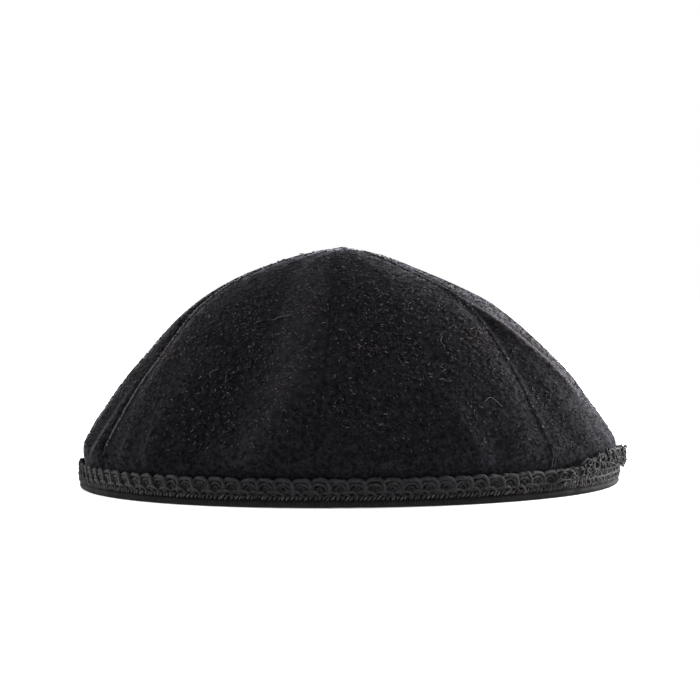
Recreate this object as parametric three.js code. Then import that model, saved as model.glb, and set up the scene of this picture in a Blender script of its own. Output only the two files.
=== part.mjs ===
// A six-gore velvet skullcap with a ribbed rim binding and a scalloped gimp braid.
// Millimetres, +Z up, the front towards -Y. The origin is the middle of the resting plane under the rim.
// An azimuth is in degrees about the vertical, 0 at the front and growing towards +X.

import * as THREE from 'three';

// Driving dimensions
const CLOTH = 2.0; // velvet on its stiff backing
const GAP = 0.3; // between two pieces that touch
const COLUMNS_PER_GORE = 15;
const FULL_TURN = 360;

// The crown's outer face from the rim to the peak, where the gores meet in a small nub.
// lean is how far a section's middle lies towards +X.
const SECTIONS = [
  { height: 1.3, radius: 86.8, lean: 0 },
  { height: 5.4, radius: 86.9, lean: 0 },
  { height: 8.6, radius: 88.0, lean: 0 },
  { height: 12.8, radius: 88.7, lean: 0.1 },
  { height: 20, radius: 85.3, lean: -0.1 },
  { height: 28, radius: 79.7, lean: -0.3 },
  { height: 36, radius: 73.8, lean: -0.3 },
  { height: 44, radius: 66.4, lean: -0.7 },
  { height: 52, radius: 58.6, lean: -1.3 },
  { height: 59.4, radius: 49.8, lean: -2.1 },
  { height: 66, radius: 38.6, lean: -3.4 },
  { height: 71.3, radius: 27.0, lean: -4.0 },
  { height: 75.2, radius: 16.6, lean: -3.2 },
  { height: 77.2, radius: 9.2, lean: -2.0 },
  { height: 77.9, radius: 3.8, lean: -1.2 },
  { height: 78.5, radius: 0, lean: -1.0 },
];
const CROWN_HEIGHT = SECTIONS.at(-1).height;
const RIM_RADIUS = SECTIONS[0].radius;

// Each gore runs from its own seam to the next row's. A seam's azimuth drifts from the rim to the crown.
const GORES = [
  { name: 'gore_front_right', rim: -7, crown: -2 },
  { name: 'gore_right', rim: 45, crown: 63.5 },
  { name: 'gore_back_right', rim: 108, crown: 119 },
  { name: 'gore_back_left', rim: 171, crown: 178 },
  { name: 'gore_left', rim: 232, crown: 233 },
  { name: 'gore_front_left', rim: 299, crown: 280 },
];

// Each gore swells between its seams, most at mid height.
const PUFF = 1.3;
const PUFF_EDGE = 0.16; // share of a gore's width over which it falls to the seam

// Soft creases left from folding the cap flat. azimuths and heights are those of a fold's two ends, low first.
// rise is negative for a dent. bow is 1 for a straight fold, and more where it turns most near its low end.
const FOLDS = [
  { name: 'front_ridge', azimuths: [-22.5, -13.5], heights: [10, 72], rise: 1.5, width: 6, bow: 3 },
  { name: 'front_dent', azimuths: [-34, -28], heights: [10, 48], rise: -2.2, width: 11, bow: 1 },
  { name: 'left_crease', azimuths: [-44.5, -44.5], heights: [9, 32], rise: 0.9, width: 3.5, bow: 1 },
  { name: 'left_hollow', azimuths: [-72, -74], heights: [12, 50], rise: -1.4, width: 6, bow: 1 },
  { name: 'right_crease', azimuths: [27.5, 22], heights: [9, 32], rise: 1.1, width: 5, bow: 1 },
  { name: 'right_hollow', azimuths: [53, 54], heights: [12, 40], rise: -1.6, width: 6, bow: 1 },
  { name: 'right_ridge', azimuths: [71, 57.5], heights: [30, 64], rise: 1.2, width: 4, bow: 1 },
  { name: 'back_ridge', azimuths: [150, 142], heights: [11, 62], rise: 1.4, width: 7, bow: 1 },
  { name: 'back_dent', azimuths: [203, 207], heights: [10, 52], rise: -1.8, width: 11, bow: 1 },
  { name: 'back_crease', azimuths: [251, 256], heights: [9, 34], rise: 1.0, width: 5, bow: 1 },
];
const FOLD_FADE = 0.22; // share of a fold's length over which each end dies away
const FOLD_FLOOR = 9; // below it the trim holds the cloth round
const FOLD_FREE = 13; // above it a fold has its whole height

// The ribbed ribbon is folded round the rim's edge.
const BINDING_WALL = 1.0;
const BINDING_HEIGHT = 5.0;
const BINDING_CHAMFER = 0.6;
const BINDING_SEGMENTS = 72;
const BINDING_INSIDE = RIM_RADIUS - CLOTH - GAP - BINDING_WALL;
const BINDING_OUTSIDE = RIM_RADIUS + 2 * GAP + BINDING_WALL;
const FOOT_OUTSIDE = BINDING_OUTSIDE + 1.2; // the rolled foot stands as far out as the braid over it
const FOOT_TOP = 2.2;

// The braid is one strip that goes round the rim and laps over its own start, at the cap's right.
const BRAID_WALL = 1.2;
const BRAID_INSIDE = BINDING_OUTSIDE + GAP;
const BRAID_BOTTOM = 2.5;
const BRAID_VALLEY = 7.3;
const BRAID_PEAK = 8.9;
const BRAID_SCALLOPS_PER_TURN = 104;
const BRAID_COLUMNS_PER_SCALLOP = 4;
const BRAID_START = 93; // azimuth of the end that lies underneath
const LAP_SCALLOPS = 12;
const LAP_RAMP_SCALLOPS = 4; // over which the strip climbs before it crosses its start
const LAP_CLEAR_SCALLOPS = 0.5; // by which the climb is done before it crosses its start
const LAP_LIFT = 2.4;
const LAP_FLARE = 0.8; // how far the loose end stands off
const LAP_HUMP = 1.8; // how much higher it bulges a little before the loose end
const LAP_HUMP_SCALLOPS = 3; // from the bulge's middle to the loose end
const LAP_HUMP_REACH = 4; // scallops over which it bulges, and over which it falls again

const VELVET = new THREE.MeshStandardMaterial({ color: 0x141315, roughness: 0.95, metalness: 0 });
const RIBBON = new THREE.MeshStandardMaterial({ color: 0x242223, roughness: 0.8, metalness: 0 });
const GIMP = new THREE.MeshStandardMaterial({ color: 0x2b292a, roughness: 0.85, metalness: 0 });

/** The level unit vector at an azimuth. */
function heading(azimuth) {
  const angle = THREE.MathUtils.degToRad(azimuth);
  return new THREE.Vector3(Math.sin(angle), -Math.cos(angle), 0);
}

/** The signed angle from one azimuth to another, from -180 to 180. */
function turn(from, to) {
  return THREE.MathUtils.euclideanModulo(to - from + FULL_TURN / 2, FULL_TURN) - FULL_TURN / 2;
}

/** How far a fold lifts the cloth at a place on the crown. */
function foldRise(fold, azimuth, height, radius) {
  const [low, high] = fold.heights;
  const along = (height - low) / (high - low);
  const gone = 1 - Math.max(1 - along, 0) ** fold.bow;
  const path = THREE.MathUtils.lerp(...fold.azimuths, gone);
  const away = THREE.MathUtils.degToRad(turn(path, azimuth)) * radius;
  const fade =
    THREE.MathUtils.smoothstep(along, -FOLD_FADE, FOLD_FADE) *
    (1 - THREE.MathUtils.smoothstep(along, 1 - FOLD_FADE, 1 + FOLD_FADE));
  const freed = THREE.MathUtils.smoothstep(height, FOLD_FLOOR, FOLD_FREE);
  return fold.rise * fade * freed * Math.exp(-((away / fold.width) ** 2));
}

/** How far a gore swells at a share of its width, between its seams. */
function puffRise(across, height) {
  const edge = Math.min(across, 1 - across) / PUFF_EDGE;
  return PUFF * Math.sin((Math.PI * height) / CROWN_HEIGHT) * (THREE.MathUtils.smoothstep(edge, 0, 1) - 1);
}

/** A seam's azimuth at a height. */
function seamAzimuth(seam, height) {
  return THREE.MathUtils.lerp(seam.rim, seam.crown, (height / CROWN_HEIGHT) ** 2);
}

/** The crown's outline as a curve of radius, lean and height, one row to each span. */
const OUTLINE = new THREE.CatmullRomCurve3(
  SECTIONS.map(({ radius, lean, height }) => new THREE.Vector3(radius, lean, height)),
  false,
  'centripetal',
);

/** One gore's outer and inner grids of points, each row of the table giving a ring. */
function goreGrids(seam, nextSeam) {
  const outer = [];
  const inner = [];
  SECTIONS.forEach(({ radius, lean, height }, row) => {
    const rising = OUTLINE.getTangent(row / (SECTIONS.length - 1));
    const atPeak = radius === 0;
    const outward = atPeak
      ? new THREE.Vector2(0, 1)
      : new THREE.Vector2(rising.z, -rising.x).normalize();
    const start = seamAzimuth(seam, height);
    const width = THREE.MathUtils.euclideanModulo(seamAzimuth(nextSeam, height) - start, FULL_TURN);
    const columns = atPeak ? 0 : COLUMNS_PER_GORE;
    const outerRing = [];
    const innerRing = [];
    for (let column = 0; column <= columns; column++) {
      const across = atPeak ? 0 : column / columns;
      const azimuth = start + width * across;
      const swell = FOLDS.reduce(
        (sum, fold) => sum + foldRise(fold, azimuth, height, radius),
        puffRise(across, height),
      );
      const place = (depth) =>
        heading(azimuth)
          .multiplyScalar(atPeak ? 0 : radius + outward.x * (swell - depth))
          .add(new THREE.Vector3(lean, 0, height + outward.y * (atPeak ? -depth : swell - depth)));
      outerRing.push(place(0));
      innerRing.push(place(CLOTH));
    }
    outer.push(outerRing);
    inner.push(innerRing);
  });
  return { outer, inner };
}

/** Collects points and triangles and makes a geometry of them. */
class MeshWriter {
  constructor() {
    this.positions = [];
    this.indices = [];
  }

  point(vector) {
    this.positions.push(vector.x, vector.y, vector.z);
    return this.positions.length / 3 - 1;
  }

  quad(a, b, c, d) {
    this.indices.push(a, b, c, a, c, d);
  }

  triangle(a, b, c) {
    this.indices.push(a, b, c);
  }

  geometry() {
    const made = new THREE.BufferGeometry();
    made.setAttribute('position', new THREE.Float32BufferAttribute(this.positions, 3));
    made.setIndex(this.indices);
    made.computeVertexNormals();
    return made;
  }
}

/** A gore as a closed wall: two skins that come to a point at the peak, and the edges between them. */
function goreGeometry(seam, nextSeam) {
  const { outer, inner } = goreGrids(seam, nextSeam);
  const writer = new MeshWriter();
  const out = outer.map((ring) => ring.map((point) => writer.point(point)));
  const inn = inner.map((ring) => ring.map((point) => writer.point(point)));
  const last = out.length - 2;
  const columns = COLUMNS_PER_GORE;
  for (let row = 0; row < last; row++) {
    for (let column = 0; column < columns; column++) {
      writer.quad(out[row][column], out[row][column + 1], out[row + 1][column + 1], out[row + 1][column]);
      writer.quad(inn[row][column + 1], inn[row][column], inn[row + 1][column], inn[row + 1][column + 1]);
    }
    writer.quad(inn[row][0], out[row][0], out[row + 1][0], inn[row + 1][0]);
    writer.quad(out[row][columns], inn[row][columns], inn[row + 1][columns], out[row + 1][columns]);
  }
  const outPeak = out[last + 1][0];
  const innPeak = inn[last + 1][0];
  for (let column = 0; column < columns; column++) {
    writer.triangle(out[last][column], out[last][column + 1], outPeak);
    writer.triangle(inn[last][column + 1], inn[last][column], innPeak);
    writer.quad(inn[0][column], inn[0][column + 1], out[0][column + 1], out[0][column]);
  }
  writer.quad(inn[last][0], out[last][0], outPeak, innPeak);
  writer.quad(out[last][columns], inn[last][columns], innPeak, outPeak);
  return writer.geometry();
}

/** The gore that starts at a row of the table, moved out along its middle so that its seams stay open. */
function makeGore(seam, index) {
  const nextSeam = GORES[(index + 1) % GORES.length];
  const mesh = new THREE.Mesh(goreGeometry(seam, nextSeam), VELVET);
  const width = THREE.MathUtils.euclideanModulo(nextSeam.rim - seam.rim, FULL_TURN);
  const shift = GAP / 2 / Math.sin(THREE.MathUtils.degToRad(width / 2));
  mesh.position.copy(heading(seam.rim + width / 2).multiplyScalar(shift));
  mesh.name = seam.name;
  return mesh;
}

/** The binding's U section, spun round the rim, with the thick flat foot that the cap rests on. */
function makeBinding() {
  const floor = BINDING_WALL;
  const outline = [
    [BINDING_INSIDE, BINDING_CHAMFER],
    [BINDING_INSIDE + BINDING_CHAMFER, 0],
    [FOOT_OUTSIDE - BINDING_CHAMFER, 0],
    [FOOT_OUTSIDE, BINDING_CHAMFER],
    [FOOT_OUTSIDE, FOOT_TOP],
    [BINDING_OUTSIDE, FOOT_TOP],
    [BINDING_OUTSIDE, BINDING_HEIGHT],
    [BINDING_OUTSIDE - BINDING_WALL, BINDING_HEIGHT],
    [BINDING_OUTSIDE - BINDING_WALL, floor],
    [BINDING_INSIDE + BINDING_WALL, floor],
    [BINDING_INSIDE + BINDING_WALL, BINDING_HEIGHT],
    [BINDING_INSIDE, BINDING_HEIGHT],
  ];
  outline.push(outline[0]);
  const ring = new THREE.LatheGeometry(
    outline.map(([radius, height]) => new THREE.Vector2(radius, height)),
    BINDING_SEGMENTS,
  );
  ring.rotateX(Math.PI / 2);
  const mesh = new THREE.Mesh(ring, RIBBON);
  mesh.name = 'rim_binding';
  return mesh;
}

/** The braid: a strip with a scalloped top edge, which climbs over its own start and ends loose. */
function makeBraid() {
  const scallops = BRAID_SCALLOPS_PER_TURN + LAP_SCALLOPS;
  const columns = scallops * BRAID_COLUMNS_PER_SCALLOP;
  const climbEnd = BRAID_SCALLOPS_PER_TURN - LAP_CLEAR_SCALLOPS;
  const humpPeak = scallops - LAP_HUMP_SCALLOPS;
  const writer = new MeshWriter();
  const rings = [];
  for (let column = 0; column <= columns; column++) {
    const scallop = column / BRAID_COLUMNS_PER_SCALLOP;
    const azimuth = BRAID_START - (FULL_TURN * scallop) / BRAID_SCALLOPS_PER_TURN;
    const climb = THREE.MathUtils.smoothstep(scallop, BRAID_SCALLOPS_PER_TURN - LAP_RAMP_SCALLOPS, climbEnd);
    const flare = THREE.MathUtils.smoothstep(scallop, scallops - LAP_RAMP_SCALLOPS, scallops);
    const inside = BRAID_INSIDE + climb * (BRAID_WALL + GAP) + flare * LAP_FLARE;
    const arch = Math.abs(Math.sin(Math.PI * scallop));
    const hump =
      THREE.MathUtils.smoothstep(scallop, humpPeak - LAP_HUMP_REACH, humpPeak) -
      THREE.MathUtils.smoothstep(scallop, humpPeak, humpPeak + LAP_HUMP_REACH);
    const lift = climb * LAP_LIFT + hump * LAP_HUMP;
    const bottom = BRAID_BOTTOM + lift;
    const top = THREE.MathUtils.lerp(BRAID_VALLEY, BRAID_PEAK, arch) + lift;
    const out = heading(azimuth);
    const corner = (radius, height) =>
      writer.point(out.clone().multiplyScalar(radius).add(new THREE.Vector3(0, 0, height)));
    rings.push([
      corner(inside, bottom),
      corner(inside, top),
      corner(inside + BRAID_WALL, top),
      corner(inside + BRAID_WALL, bottom),
    ]);
  }
  for (let column = 0; column < columns; column++) {
    const [here, next] = [rings[column], rings[column + 1]];
    for (let side = 0; side < here.length; side++) {
      const other = (side + 1) % here.length;
      writer.quad(here[side], next[side], next[other], here[other]);
    }
  }
  const [first, end] = [rings[0], rings.at(-1)];
  writer.quad(first[0], first[1], first[2], first[3]);
  writer.quad(end[3], end[2], end[1], end[0]);
  const mesh = new THREE.Mesh(writer.geometry(), GIMP);
  mesh.name = 'braid';
  return mesh;
}

const cap = new THREE.Group();
cap.add(...GORES.map(makeGore), makeBinding(), makeBraid());

// The lap makes the cap a little wider on one side, so the group is centred on its own box.
const box = new THREE.Box3().setFromObject(cap, true);
const middle = box.getCenter(new THREE.Vector3());
cap.position.set(-middle.x, -middle.y, -box.min.z);

export default cap;
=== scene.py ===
"""Dress the kippah for its picture: velvet gores with pile and lint, a ribbed binding and a gimp braid."""

import logging
import math
from collections.abc import Callable
from dataclasses import dataclass, field
from enum import Enum

import bpy
import numpy as np
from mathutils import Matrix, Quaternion, Vector


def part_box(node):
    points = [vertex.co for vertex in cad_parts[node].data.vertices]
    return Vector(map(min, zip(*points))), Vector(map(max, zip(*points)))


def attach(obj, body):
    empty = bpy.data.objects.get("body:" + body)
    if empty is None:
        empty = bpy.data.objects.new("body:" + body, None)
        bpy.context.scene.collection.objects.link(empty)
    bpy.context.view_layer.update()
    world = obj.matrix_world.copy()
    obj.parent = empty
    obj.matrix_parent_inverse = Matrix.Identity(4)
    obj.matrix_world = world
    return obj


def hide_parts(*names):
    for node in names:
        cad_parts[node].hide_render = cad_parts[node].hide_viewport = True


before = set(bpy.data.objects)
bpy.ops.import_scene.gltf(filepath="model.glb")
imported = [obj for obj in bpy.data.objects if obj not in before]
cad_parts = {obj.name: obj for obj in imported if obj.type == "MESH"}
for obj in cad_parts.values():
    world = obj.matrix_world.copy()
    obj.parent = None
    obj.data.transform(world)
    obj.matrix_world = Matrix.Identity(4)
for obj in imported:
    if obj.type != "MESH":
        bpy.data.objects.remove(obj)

log = logging.getLogger("kippah")

Colour = tuple[float, float, float]
Range = tuple[float, float]
Socket = bpy.types.NodeSocket

MM = 0.001
MM_PER_CM = 10.0
GAP = 0.3
FULL_TURN = 360.0
CIRCLE = 2.0 * math.pi
THIRDS = np.radians((0.0, 120.0, 240.0))
SPIKE_FACES = ([0, 1, 3], [1, 2, 3], [2, 0, 3], [2, 1, 0])
LINE_SIDES = 4
LEAST_WIDTH = 0.1
DOUBLES_WITHIN = 0.002 * MM
BODY = "root"
PILE_TINT = (0.78, 0.77, 0.90, 1.0)

# A Mix node's sockets for colours, which share their names with its other ones
MIX_SHARE = 0
MIX_LOW = 6
MIX_HIGH = 7
MIX_RESULT = 2


# Small tools


def smoothstep(value: np.ndarray, low: float, high: float) -> np.ndarray:
    """Ease from 0 at low to 1 at high."""
    share = np.clip((value - low) / (high - low), 0.0, 1.0)
    return share * share * (3.0 - 2.0 * share)


def bump(distance: np.ndarray, width: float) -> np.ndarray:
    """A bell that is 1 at no distance and fades over width."""
    return np.exp(-((distance / width) ** 2))


def heading(azimuth: np.ndarray) -> tuple[np.ndarray, np.ndarray]:
    """The level unit vector at an azimuth in degrees, 0 at the front and growing towards +X."""
    angle = np.radians(azimuth)
    return np.sin(angle), -np.cos(angle)


def unit(vectors: np.ndarray) -> np.ndarray:
    """Vectors along the last axis at length 1."""
    return vectors / np.maximum(np.linalg.norm(vectors, axis=-1, keepdims=True), 1e-12)


def away_from(path: np.ndarray, middle: np.ndarray, height: float) -> np.ndarray:
    """The direction at each point away from the point of the cap's axis at a height."""
    return unit(path - middle - np.array([0.0, 0.0, height]))


def level_away(path: np.ndarray, middle: np.ndarray) -> np.ndarray:
    """The level direction at each point away from the cap's axis."""
    return unit((path - middle) * np.array([1.0, 1.0, 0.0]))


def select_only(*pieces: bpy.types.Object) -> None:
    """Select these objects alone and make the first one active."""
    bpy.ops.object.select_all(action="DESELECT")
    for piece in pieces:
        piece.select_set(True)
    bpy.context.view_layer.objects.active = pieces[0]


def apply_modifiers(piece: bpy.types.Object) -> None:
    """Make the piece's modifiers part of its mesh."""
    select_only(piece)
    for modifier in list(piece.modifiers):
        bpy.ops.object.modifier_apply(modifier=modifier.name)


def face_outward(piece: bpy.types.Object) -> None:
    """Turn all of a closed piece's faces outward."""
    select_only(piece)
    bpy.ops.object.mode_set(mode="EDIT")
    bpy.ops.mesh.select_all(action="SELECT")
    bpy.ops.mesh.normals_make_consistent(inside=False)
    bpy.ops.object.mode_set(mode="OBJECT")


def seat(piece: bpy.types.Object) -> None:
    """Let a finished piece ride on the cap's body."""
    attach(piece, BODY)


def vertex_places(mesh: bpy.types.Mesh) -> np.ndarray:
    """Read the places of a mesh's vertices, a row for each."""
    flat = np.empty(len(mesh.vertices) * 3)
    mesh.vertices.foreach_get("co", flat)
    return flat.reshape(-1, 3)


def corner_vertices(mesh: bpy.types.Mesh) -> np.ndarray:
    """Read the vertex of each corner of a mesh's faces."""
    corners = np.empty(len(mesh.loops), dtype=np.int32)
    mesh.loops.foreach_get("vertex_index", corners)
    return corners


def give_attribute(mesh: bpy.types.Mesh, name: str, values: np.ndarray) -> None:
    """Store a value for each vertex, for a material to read by its name."""
    mesh.attributes.new(name, "FLOAT", "POINT").data.foreach_set("value", values)


def tube_quads(rings: int, sides: int) -> tuple[np.ndarray, ...]:
    """For each quad round a tube, give its ring, its spot and the numbers of its two corners on that ring."""
    grid = np.meshgrid(np.arange(rings - 1), np.arange(sides), indexing="ij")
    ring, spot = (part.ravel() for part in grid)
    return ring, spot, ring * sides + spot, ring * sides + (spot + 1) % sides


def wrapped_grid(
    name: str,
    columns: int,
    rows: int,
    place: Callable[[np.ndarray, np.ndarray], np.ndarray],
    cloth: Callable[[np.ndarray, np.ndarray], np.ndarray],
) -> bpy.types.Object:
    """Lay a flat grid over a surface and close it wherever its edges meet.

    Args:
        name: The new piece's name.
        columns: Faces across.
        rows: Faces up.
        place: Gives points in millimetres for shares across and up.
        cloth: Gives the flat cloth's own coordinates in millimetres for the same shares.

    Returns:
        The piece, at the origin, with smooth faces and a UV map in centimetres of cloth.
    """
    bpy.ops.object.select_all(action="DESELECT")
    bpy.ops.mesh.primitive_grid_add(x_subdivisions=columns, y_subdivisions=rows, size=1.0)
    piece = bpy.context.active_object
    piece.name = name
    piece.data.name = name
    mesh = piece.data
    shares = vertex_places(mesh)[:, :2] + 0.5
    lay = cloth(shares[:, 0], shares[:, 1]) / MM_PER_CM
    mesh.uv_layers.active.data.foreach_set("uv", lay[corner_vertices(mesh)].ravel())
    mesh.vertices.foreach_set("co", (place(shares[:, 0], shares[:, 1]) * MM).ravel())
    mesh.update()
    bpy.ops.object.mode_set(mode="EDIT")
    bpy.ops.mesh.select_all(action="SELECT")
    bpy.ops.mesh.remove_doubles(threshold=DOUBLES_WITHIN)
    bpy.ops.object.mode_set(mode="OBJECT")
    bpy.ops.object.shade_smooth()
    return piece


@dataclass
class Bundle:
    """Many small shapes that are gathered into one mesh."""

    vertices: list[np.ndarray] = field(default_factory=list)
    faces: list[np.ndarray] = field(default_factory=list)
    tones: list[np.ndarray] = field(default_factory=list)
    lays: list[np.ndarray] = field(default_factory=list)
    count: int = 0

    def add(self, vertices: np.ndarray, faces: np.ndarray, tones: np.ndarray, lay: np.ndarray) -> None:
        """Take in a batch: points in millimetres, faces, a tone for each face, and a UV for each corner."""
        self.vertices.append(vertices.reshape(-1, 3))
        self.faces.append(faces + self.count)
        self.tones.append(tones)
        self.lays.append(lay.reshape(-1, 2))
        self.count += vertices.size // 3

    def piece(self, name: str, materials: list[bpy.types.Material], smooth: bool = True) -> bpy.types.Object:
        """Make the mesh.

        Args:
            name: The new piece's name.
            materials: One for each tone.
            smooth: Whether its faces shade as one curve.

        Returns:
            The piece, at the origin.
        """
        points = np.concatenate(self.vertices) * MM
        loops = np.concatenate([batch.ravel() for batch in self.faces]).astype(np.int32)
        sides = np.concatenate([np.full(len(batch), batch.shape[1]) for batch in self.faces]).astype(np.int32)
        starts = np.concatenate([[0], np.cumsum(sides)[:-1]]).astype(np.int32)
        mesh = bpy.data.meshes.new(name)
        mesh.vertices.add(len(points))
        mesh.vertices.foreach_set("co", points.ravel())
        mesh.loops.add(len(loops))
        mesh.loops.foreach_set("vertex_index", loops)
        mesh.polygons.add(len(sides))
        mesh.polygons.foreach_set("loop_start", starts)
        for material in materials:
            mesh.materials.append(material)
        mesh.polygons.foreach_set("material_index", np.concatenate(self.tones).astype(np.int32))
        mesh.polygons.foreach_set("use_smooth", np.full(len(sides), smooth))
        mesh.uv_layers.new(name="lay").data.foreach_set("uv", np.concatenate(self.lays).ravel())
        mesh.update(calc_edges=True)
        mesh.validate()
        piece = bpy.data.objects.new(name, mesh)
        bpy.context.scene.collection.objects.link(piece)
        return piece

    @staticmethod
    def shade_as(piece: bpy.types.Object, facing: np.ndarray) -> None:
        """Let fibres catch the light as the cloth under them does, by one direction for each vertex."""
        piece.data.normals_split_custom_set_from_vertices(facing.reshape(-1, 3).tolist())

    def cord(self, path: np.ndarray, radius: np.ndarray, sides: int, outward: np.ndarray, tone: int) -> None:
        """Sweep a round section along a path and close both ends.

        Args:
            path: Points in millimetres.
            radius: The section's radius at each point.
            sides: How many sides the section has.
            outward: A direction at each point that the path never runs along.
            tone: Which material it takes.
        """
        along = unit(np.gradient(path, axis=0))
        across = unit(np.cross(along, outward))
        upward = np.cross(across, along)
        turns = np.linspace(0.0, CIRCLE, sides, endpoint=False)
        ring = (
            np.cos(turns)[None, :, None] * across[:, None, :]
            + np.sin(turns)[None, :, None] * upward[:, None, :]
        )
        skin = path[:, None, :] + ring * radius[:, None, None]
        step, spot, here, beside = tube_quads(len(path), sides)
        quads = np.stack([here, here + sides, beside + sides, beside], axis=1)
        walked = np.cumsum(np.linalg.norm(np.diff(path, axis=0), axis=1))
        gone = np.concatenate([[0.0], walked]) / MM_PER_CM
        low, high = gone[step], gone[step + 1]
        left, right = spot / sides, (spot + 1) / sides
        corners = ((low, left), (high, left), (high, right), (low, right))
        lay = np.stack([np.stack(pair, axis=1) for pair in corners], axis=1)
        self.add(skin, quads, np.full(len(quads), tone), lay)
        fan = np.arange(1, sides - 1)
        first = np.stack([np.zeros_like(fan), fan, fan + 1], axis=1)
        last = np.stack([np.zeros_like(fan), fan + 1, fan], axis=1) + (len(path) - 1) * sides
        caps = np.concatenate([first, last])
        self.add(np.empty(0), caps - sides * len(path), np.full(len(caps), tone), np.zeros((len(caps), 3, 2)))

    def spikes(
        self,
        root: np.ndarray,
        tip: np.ndarray,
        level: tuple[np.ndarray, np.ndarray],
        turn: np.ndarray,
        half: float,
        tones: np.ndarray,
    ) -> np.ndarray:
        """Add small three-sided spikes.

        Args:
            root: The middle of each one's foot.
            tip: Its point.
            level: Two directions along the surface that it stands on.
            turn: How far its foot is turned, in radians.
            half: How far the foot's corners lie from its middle.
            tones: Which material each one takes.

        Returns:
            Their vertices, four for each.
        """
        side, up = level
        feet = [root + (side * np.cos(turn + third) + up * np.sin(turn + third)) * half for third in THIRDS]
        points = np.stack([*feet, tip], axis=-2)
        first = np.arange(len(tones))[:, None] * 4
        faces = np.concatenate([first + corners for corners in SPIKE_FACES])
        self.add(points, faces, np.tile(tones, 4), np.zeros((len(faces), 3, 2)))
        return points


@dataclass
class Recipe:
    """A material's nodes while a finish is put together."""

    name: str
    material: bpy.types.Material = field(init=False)
    shader: bpy.types.ShaderNode = field(init=False)

    def __post_init__(self) -> None:
        """Start from a bare Principled shader."""
        self.material = bpy.data.materials.new(self.name)
        self.material.use_nodes = True
        self.shader = self.material.node_tree.nodes["Principled BSDF"]

    def settle(self, **sockets: object) -> None:
        """Set the shader's own sockets, with an underscore for each space in a name."""
        for name, value in sockets.items():
            self.shader.inputs[name.replace("_", " ")].default_value = value

    def node(self, kind: str, settings: dict[str, object] | None = None, **sockets: object) -> bpy.types.Node:
        """Add a node.

        Args:
            kind: The node's type.
            settings: Its properties.
            sockets: Values for its input sockets, with an underscore for each space in a name.

        Returns:
            The node.
        """
        made = self.material.node_tree.nodes.new(kind)
        for name, value in (settings or {}).items():
            setattr(made, name, value)
        for name, value in sockets.items():
            made.inputs[name.replace("_", " ")].default_value = value
        return made

    def coordinates(self, kind: str) -> Socket:
        """The piece's own coordinates: Object in metres, or UV in the mesh's map."""
        return self.node("ShaderNodeTexCoord").outputs[kind]

    def attribute(self, name: str) -> Socket:
        """A value that the mesh holds for each vertex."""
        return self.node("ShaderNodeAttribute", {"attribute_name": name}).outputs["Fac"]

    def join(self, source: Socket, target: Socket) -> None:
        """Link an output to an input."""
        self.material.node_tree.links.new(source, target)

    def noise(self, coordinates: Socket, size: float, detail: float) -> Socket:
        """A noise whose lumps are about size metres across on these coordinates."""
        made = self.node("ShaderNodeTexNoise", Scale=1.0 / size, Detail=detail, Roughness=0.6)
        self.join(coordinates, made.inputs["Vector"])
        return made.outputs["Fac"]

    def ramp(
        self, source: Socket, low: float, high: float, to_low: float = 0.0, to_high: float = 1.0
    ) -> Socket:
        """Map a value's range to another one and hold it at the ends."""
        made = self.node("ShaderNodeMapRange", From_Min=low, From_Max=high, To_Min=to_low, To_Max=to_high)
        self.join(source, made.inputs["Value"])
        return made.outputs["Result"]

    def blend(self, share: Socket, low: Colour | Socket, high: Colour) -> Socket:
        """A colour between two, by a share from 0 to 1."""
        made = self.node("ShaderNodeMix", {"data_type": "RGBA"})
        if isinstance(low, tuple):
            made.inputs[MIX_LOW].default_value = (*low, 1.0)
        else:
            self.join(low, made.inputs[MIX_LOW])
        made.inputs[MIX_HIGH].default_value = (*high, 1.0)
        self.join(share, made.inputs[MIX_SHARE])
        return made.outputs[MIX_RESULT]

    def maths(self, kind: str, first: Socket, second: Socket | float) -> Socket:
        """One step of arithmetic on a value."""
        made = self.node("ShaderNodeMath", {"operation": kind})
        self.join(first, made.inputs[0])
        if isinstance(second, float):
            made.inputs[1].default_value = second
        else:
            self.join(second, made.inputs[1])
        return made.outputs["Value"]

    def colour(self, tone: Socket) -> None:
        """Give the surface its colour."""
        self.join(tone, self.shader.inputs["Base Color"])

    def rim_sheen(self, plain: float, edge: float, sharpness: float, share: Socket | None = None) -> None:
        """Give the surface a sheen that grows from plain to edge towards its outline, as share allows."""
        weight = self.node("ShaderNodeLayerWeight", Blend=0.5)
        rising = self.maths("POWER", weight.outputs["Facing"], sharpness)
        if share is not None:
            rising = self.maths("MULTIPLY", rising, share)
        self.join(self.ramp(rising, 0.0, 1.0, plain, edge), self.shader.inputs["Sheen Weight"])

    def relief(self, height: Socket, depth: float, strength: float) -> None:
        """Raise the surface by a value, at most depth metres."""
        made = self.node("ShaderNodeBump", Distance=depth, Strength=strength)
        self.join(height, made.inputs["Height"])
        self.join(made.outputs["Normal"], self.shader.inputs["Normal"])


# Finishes


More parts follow.
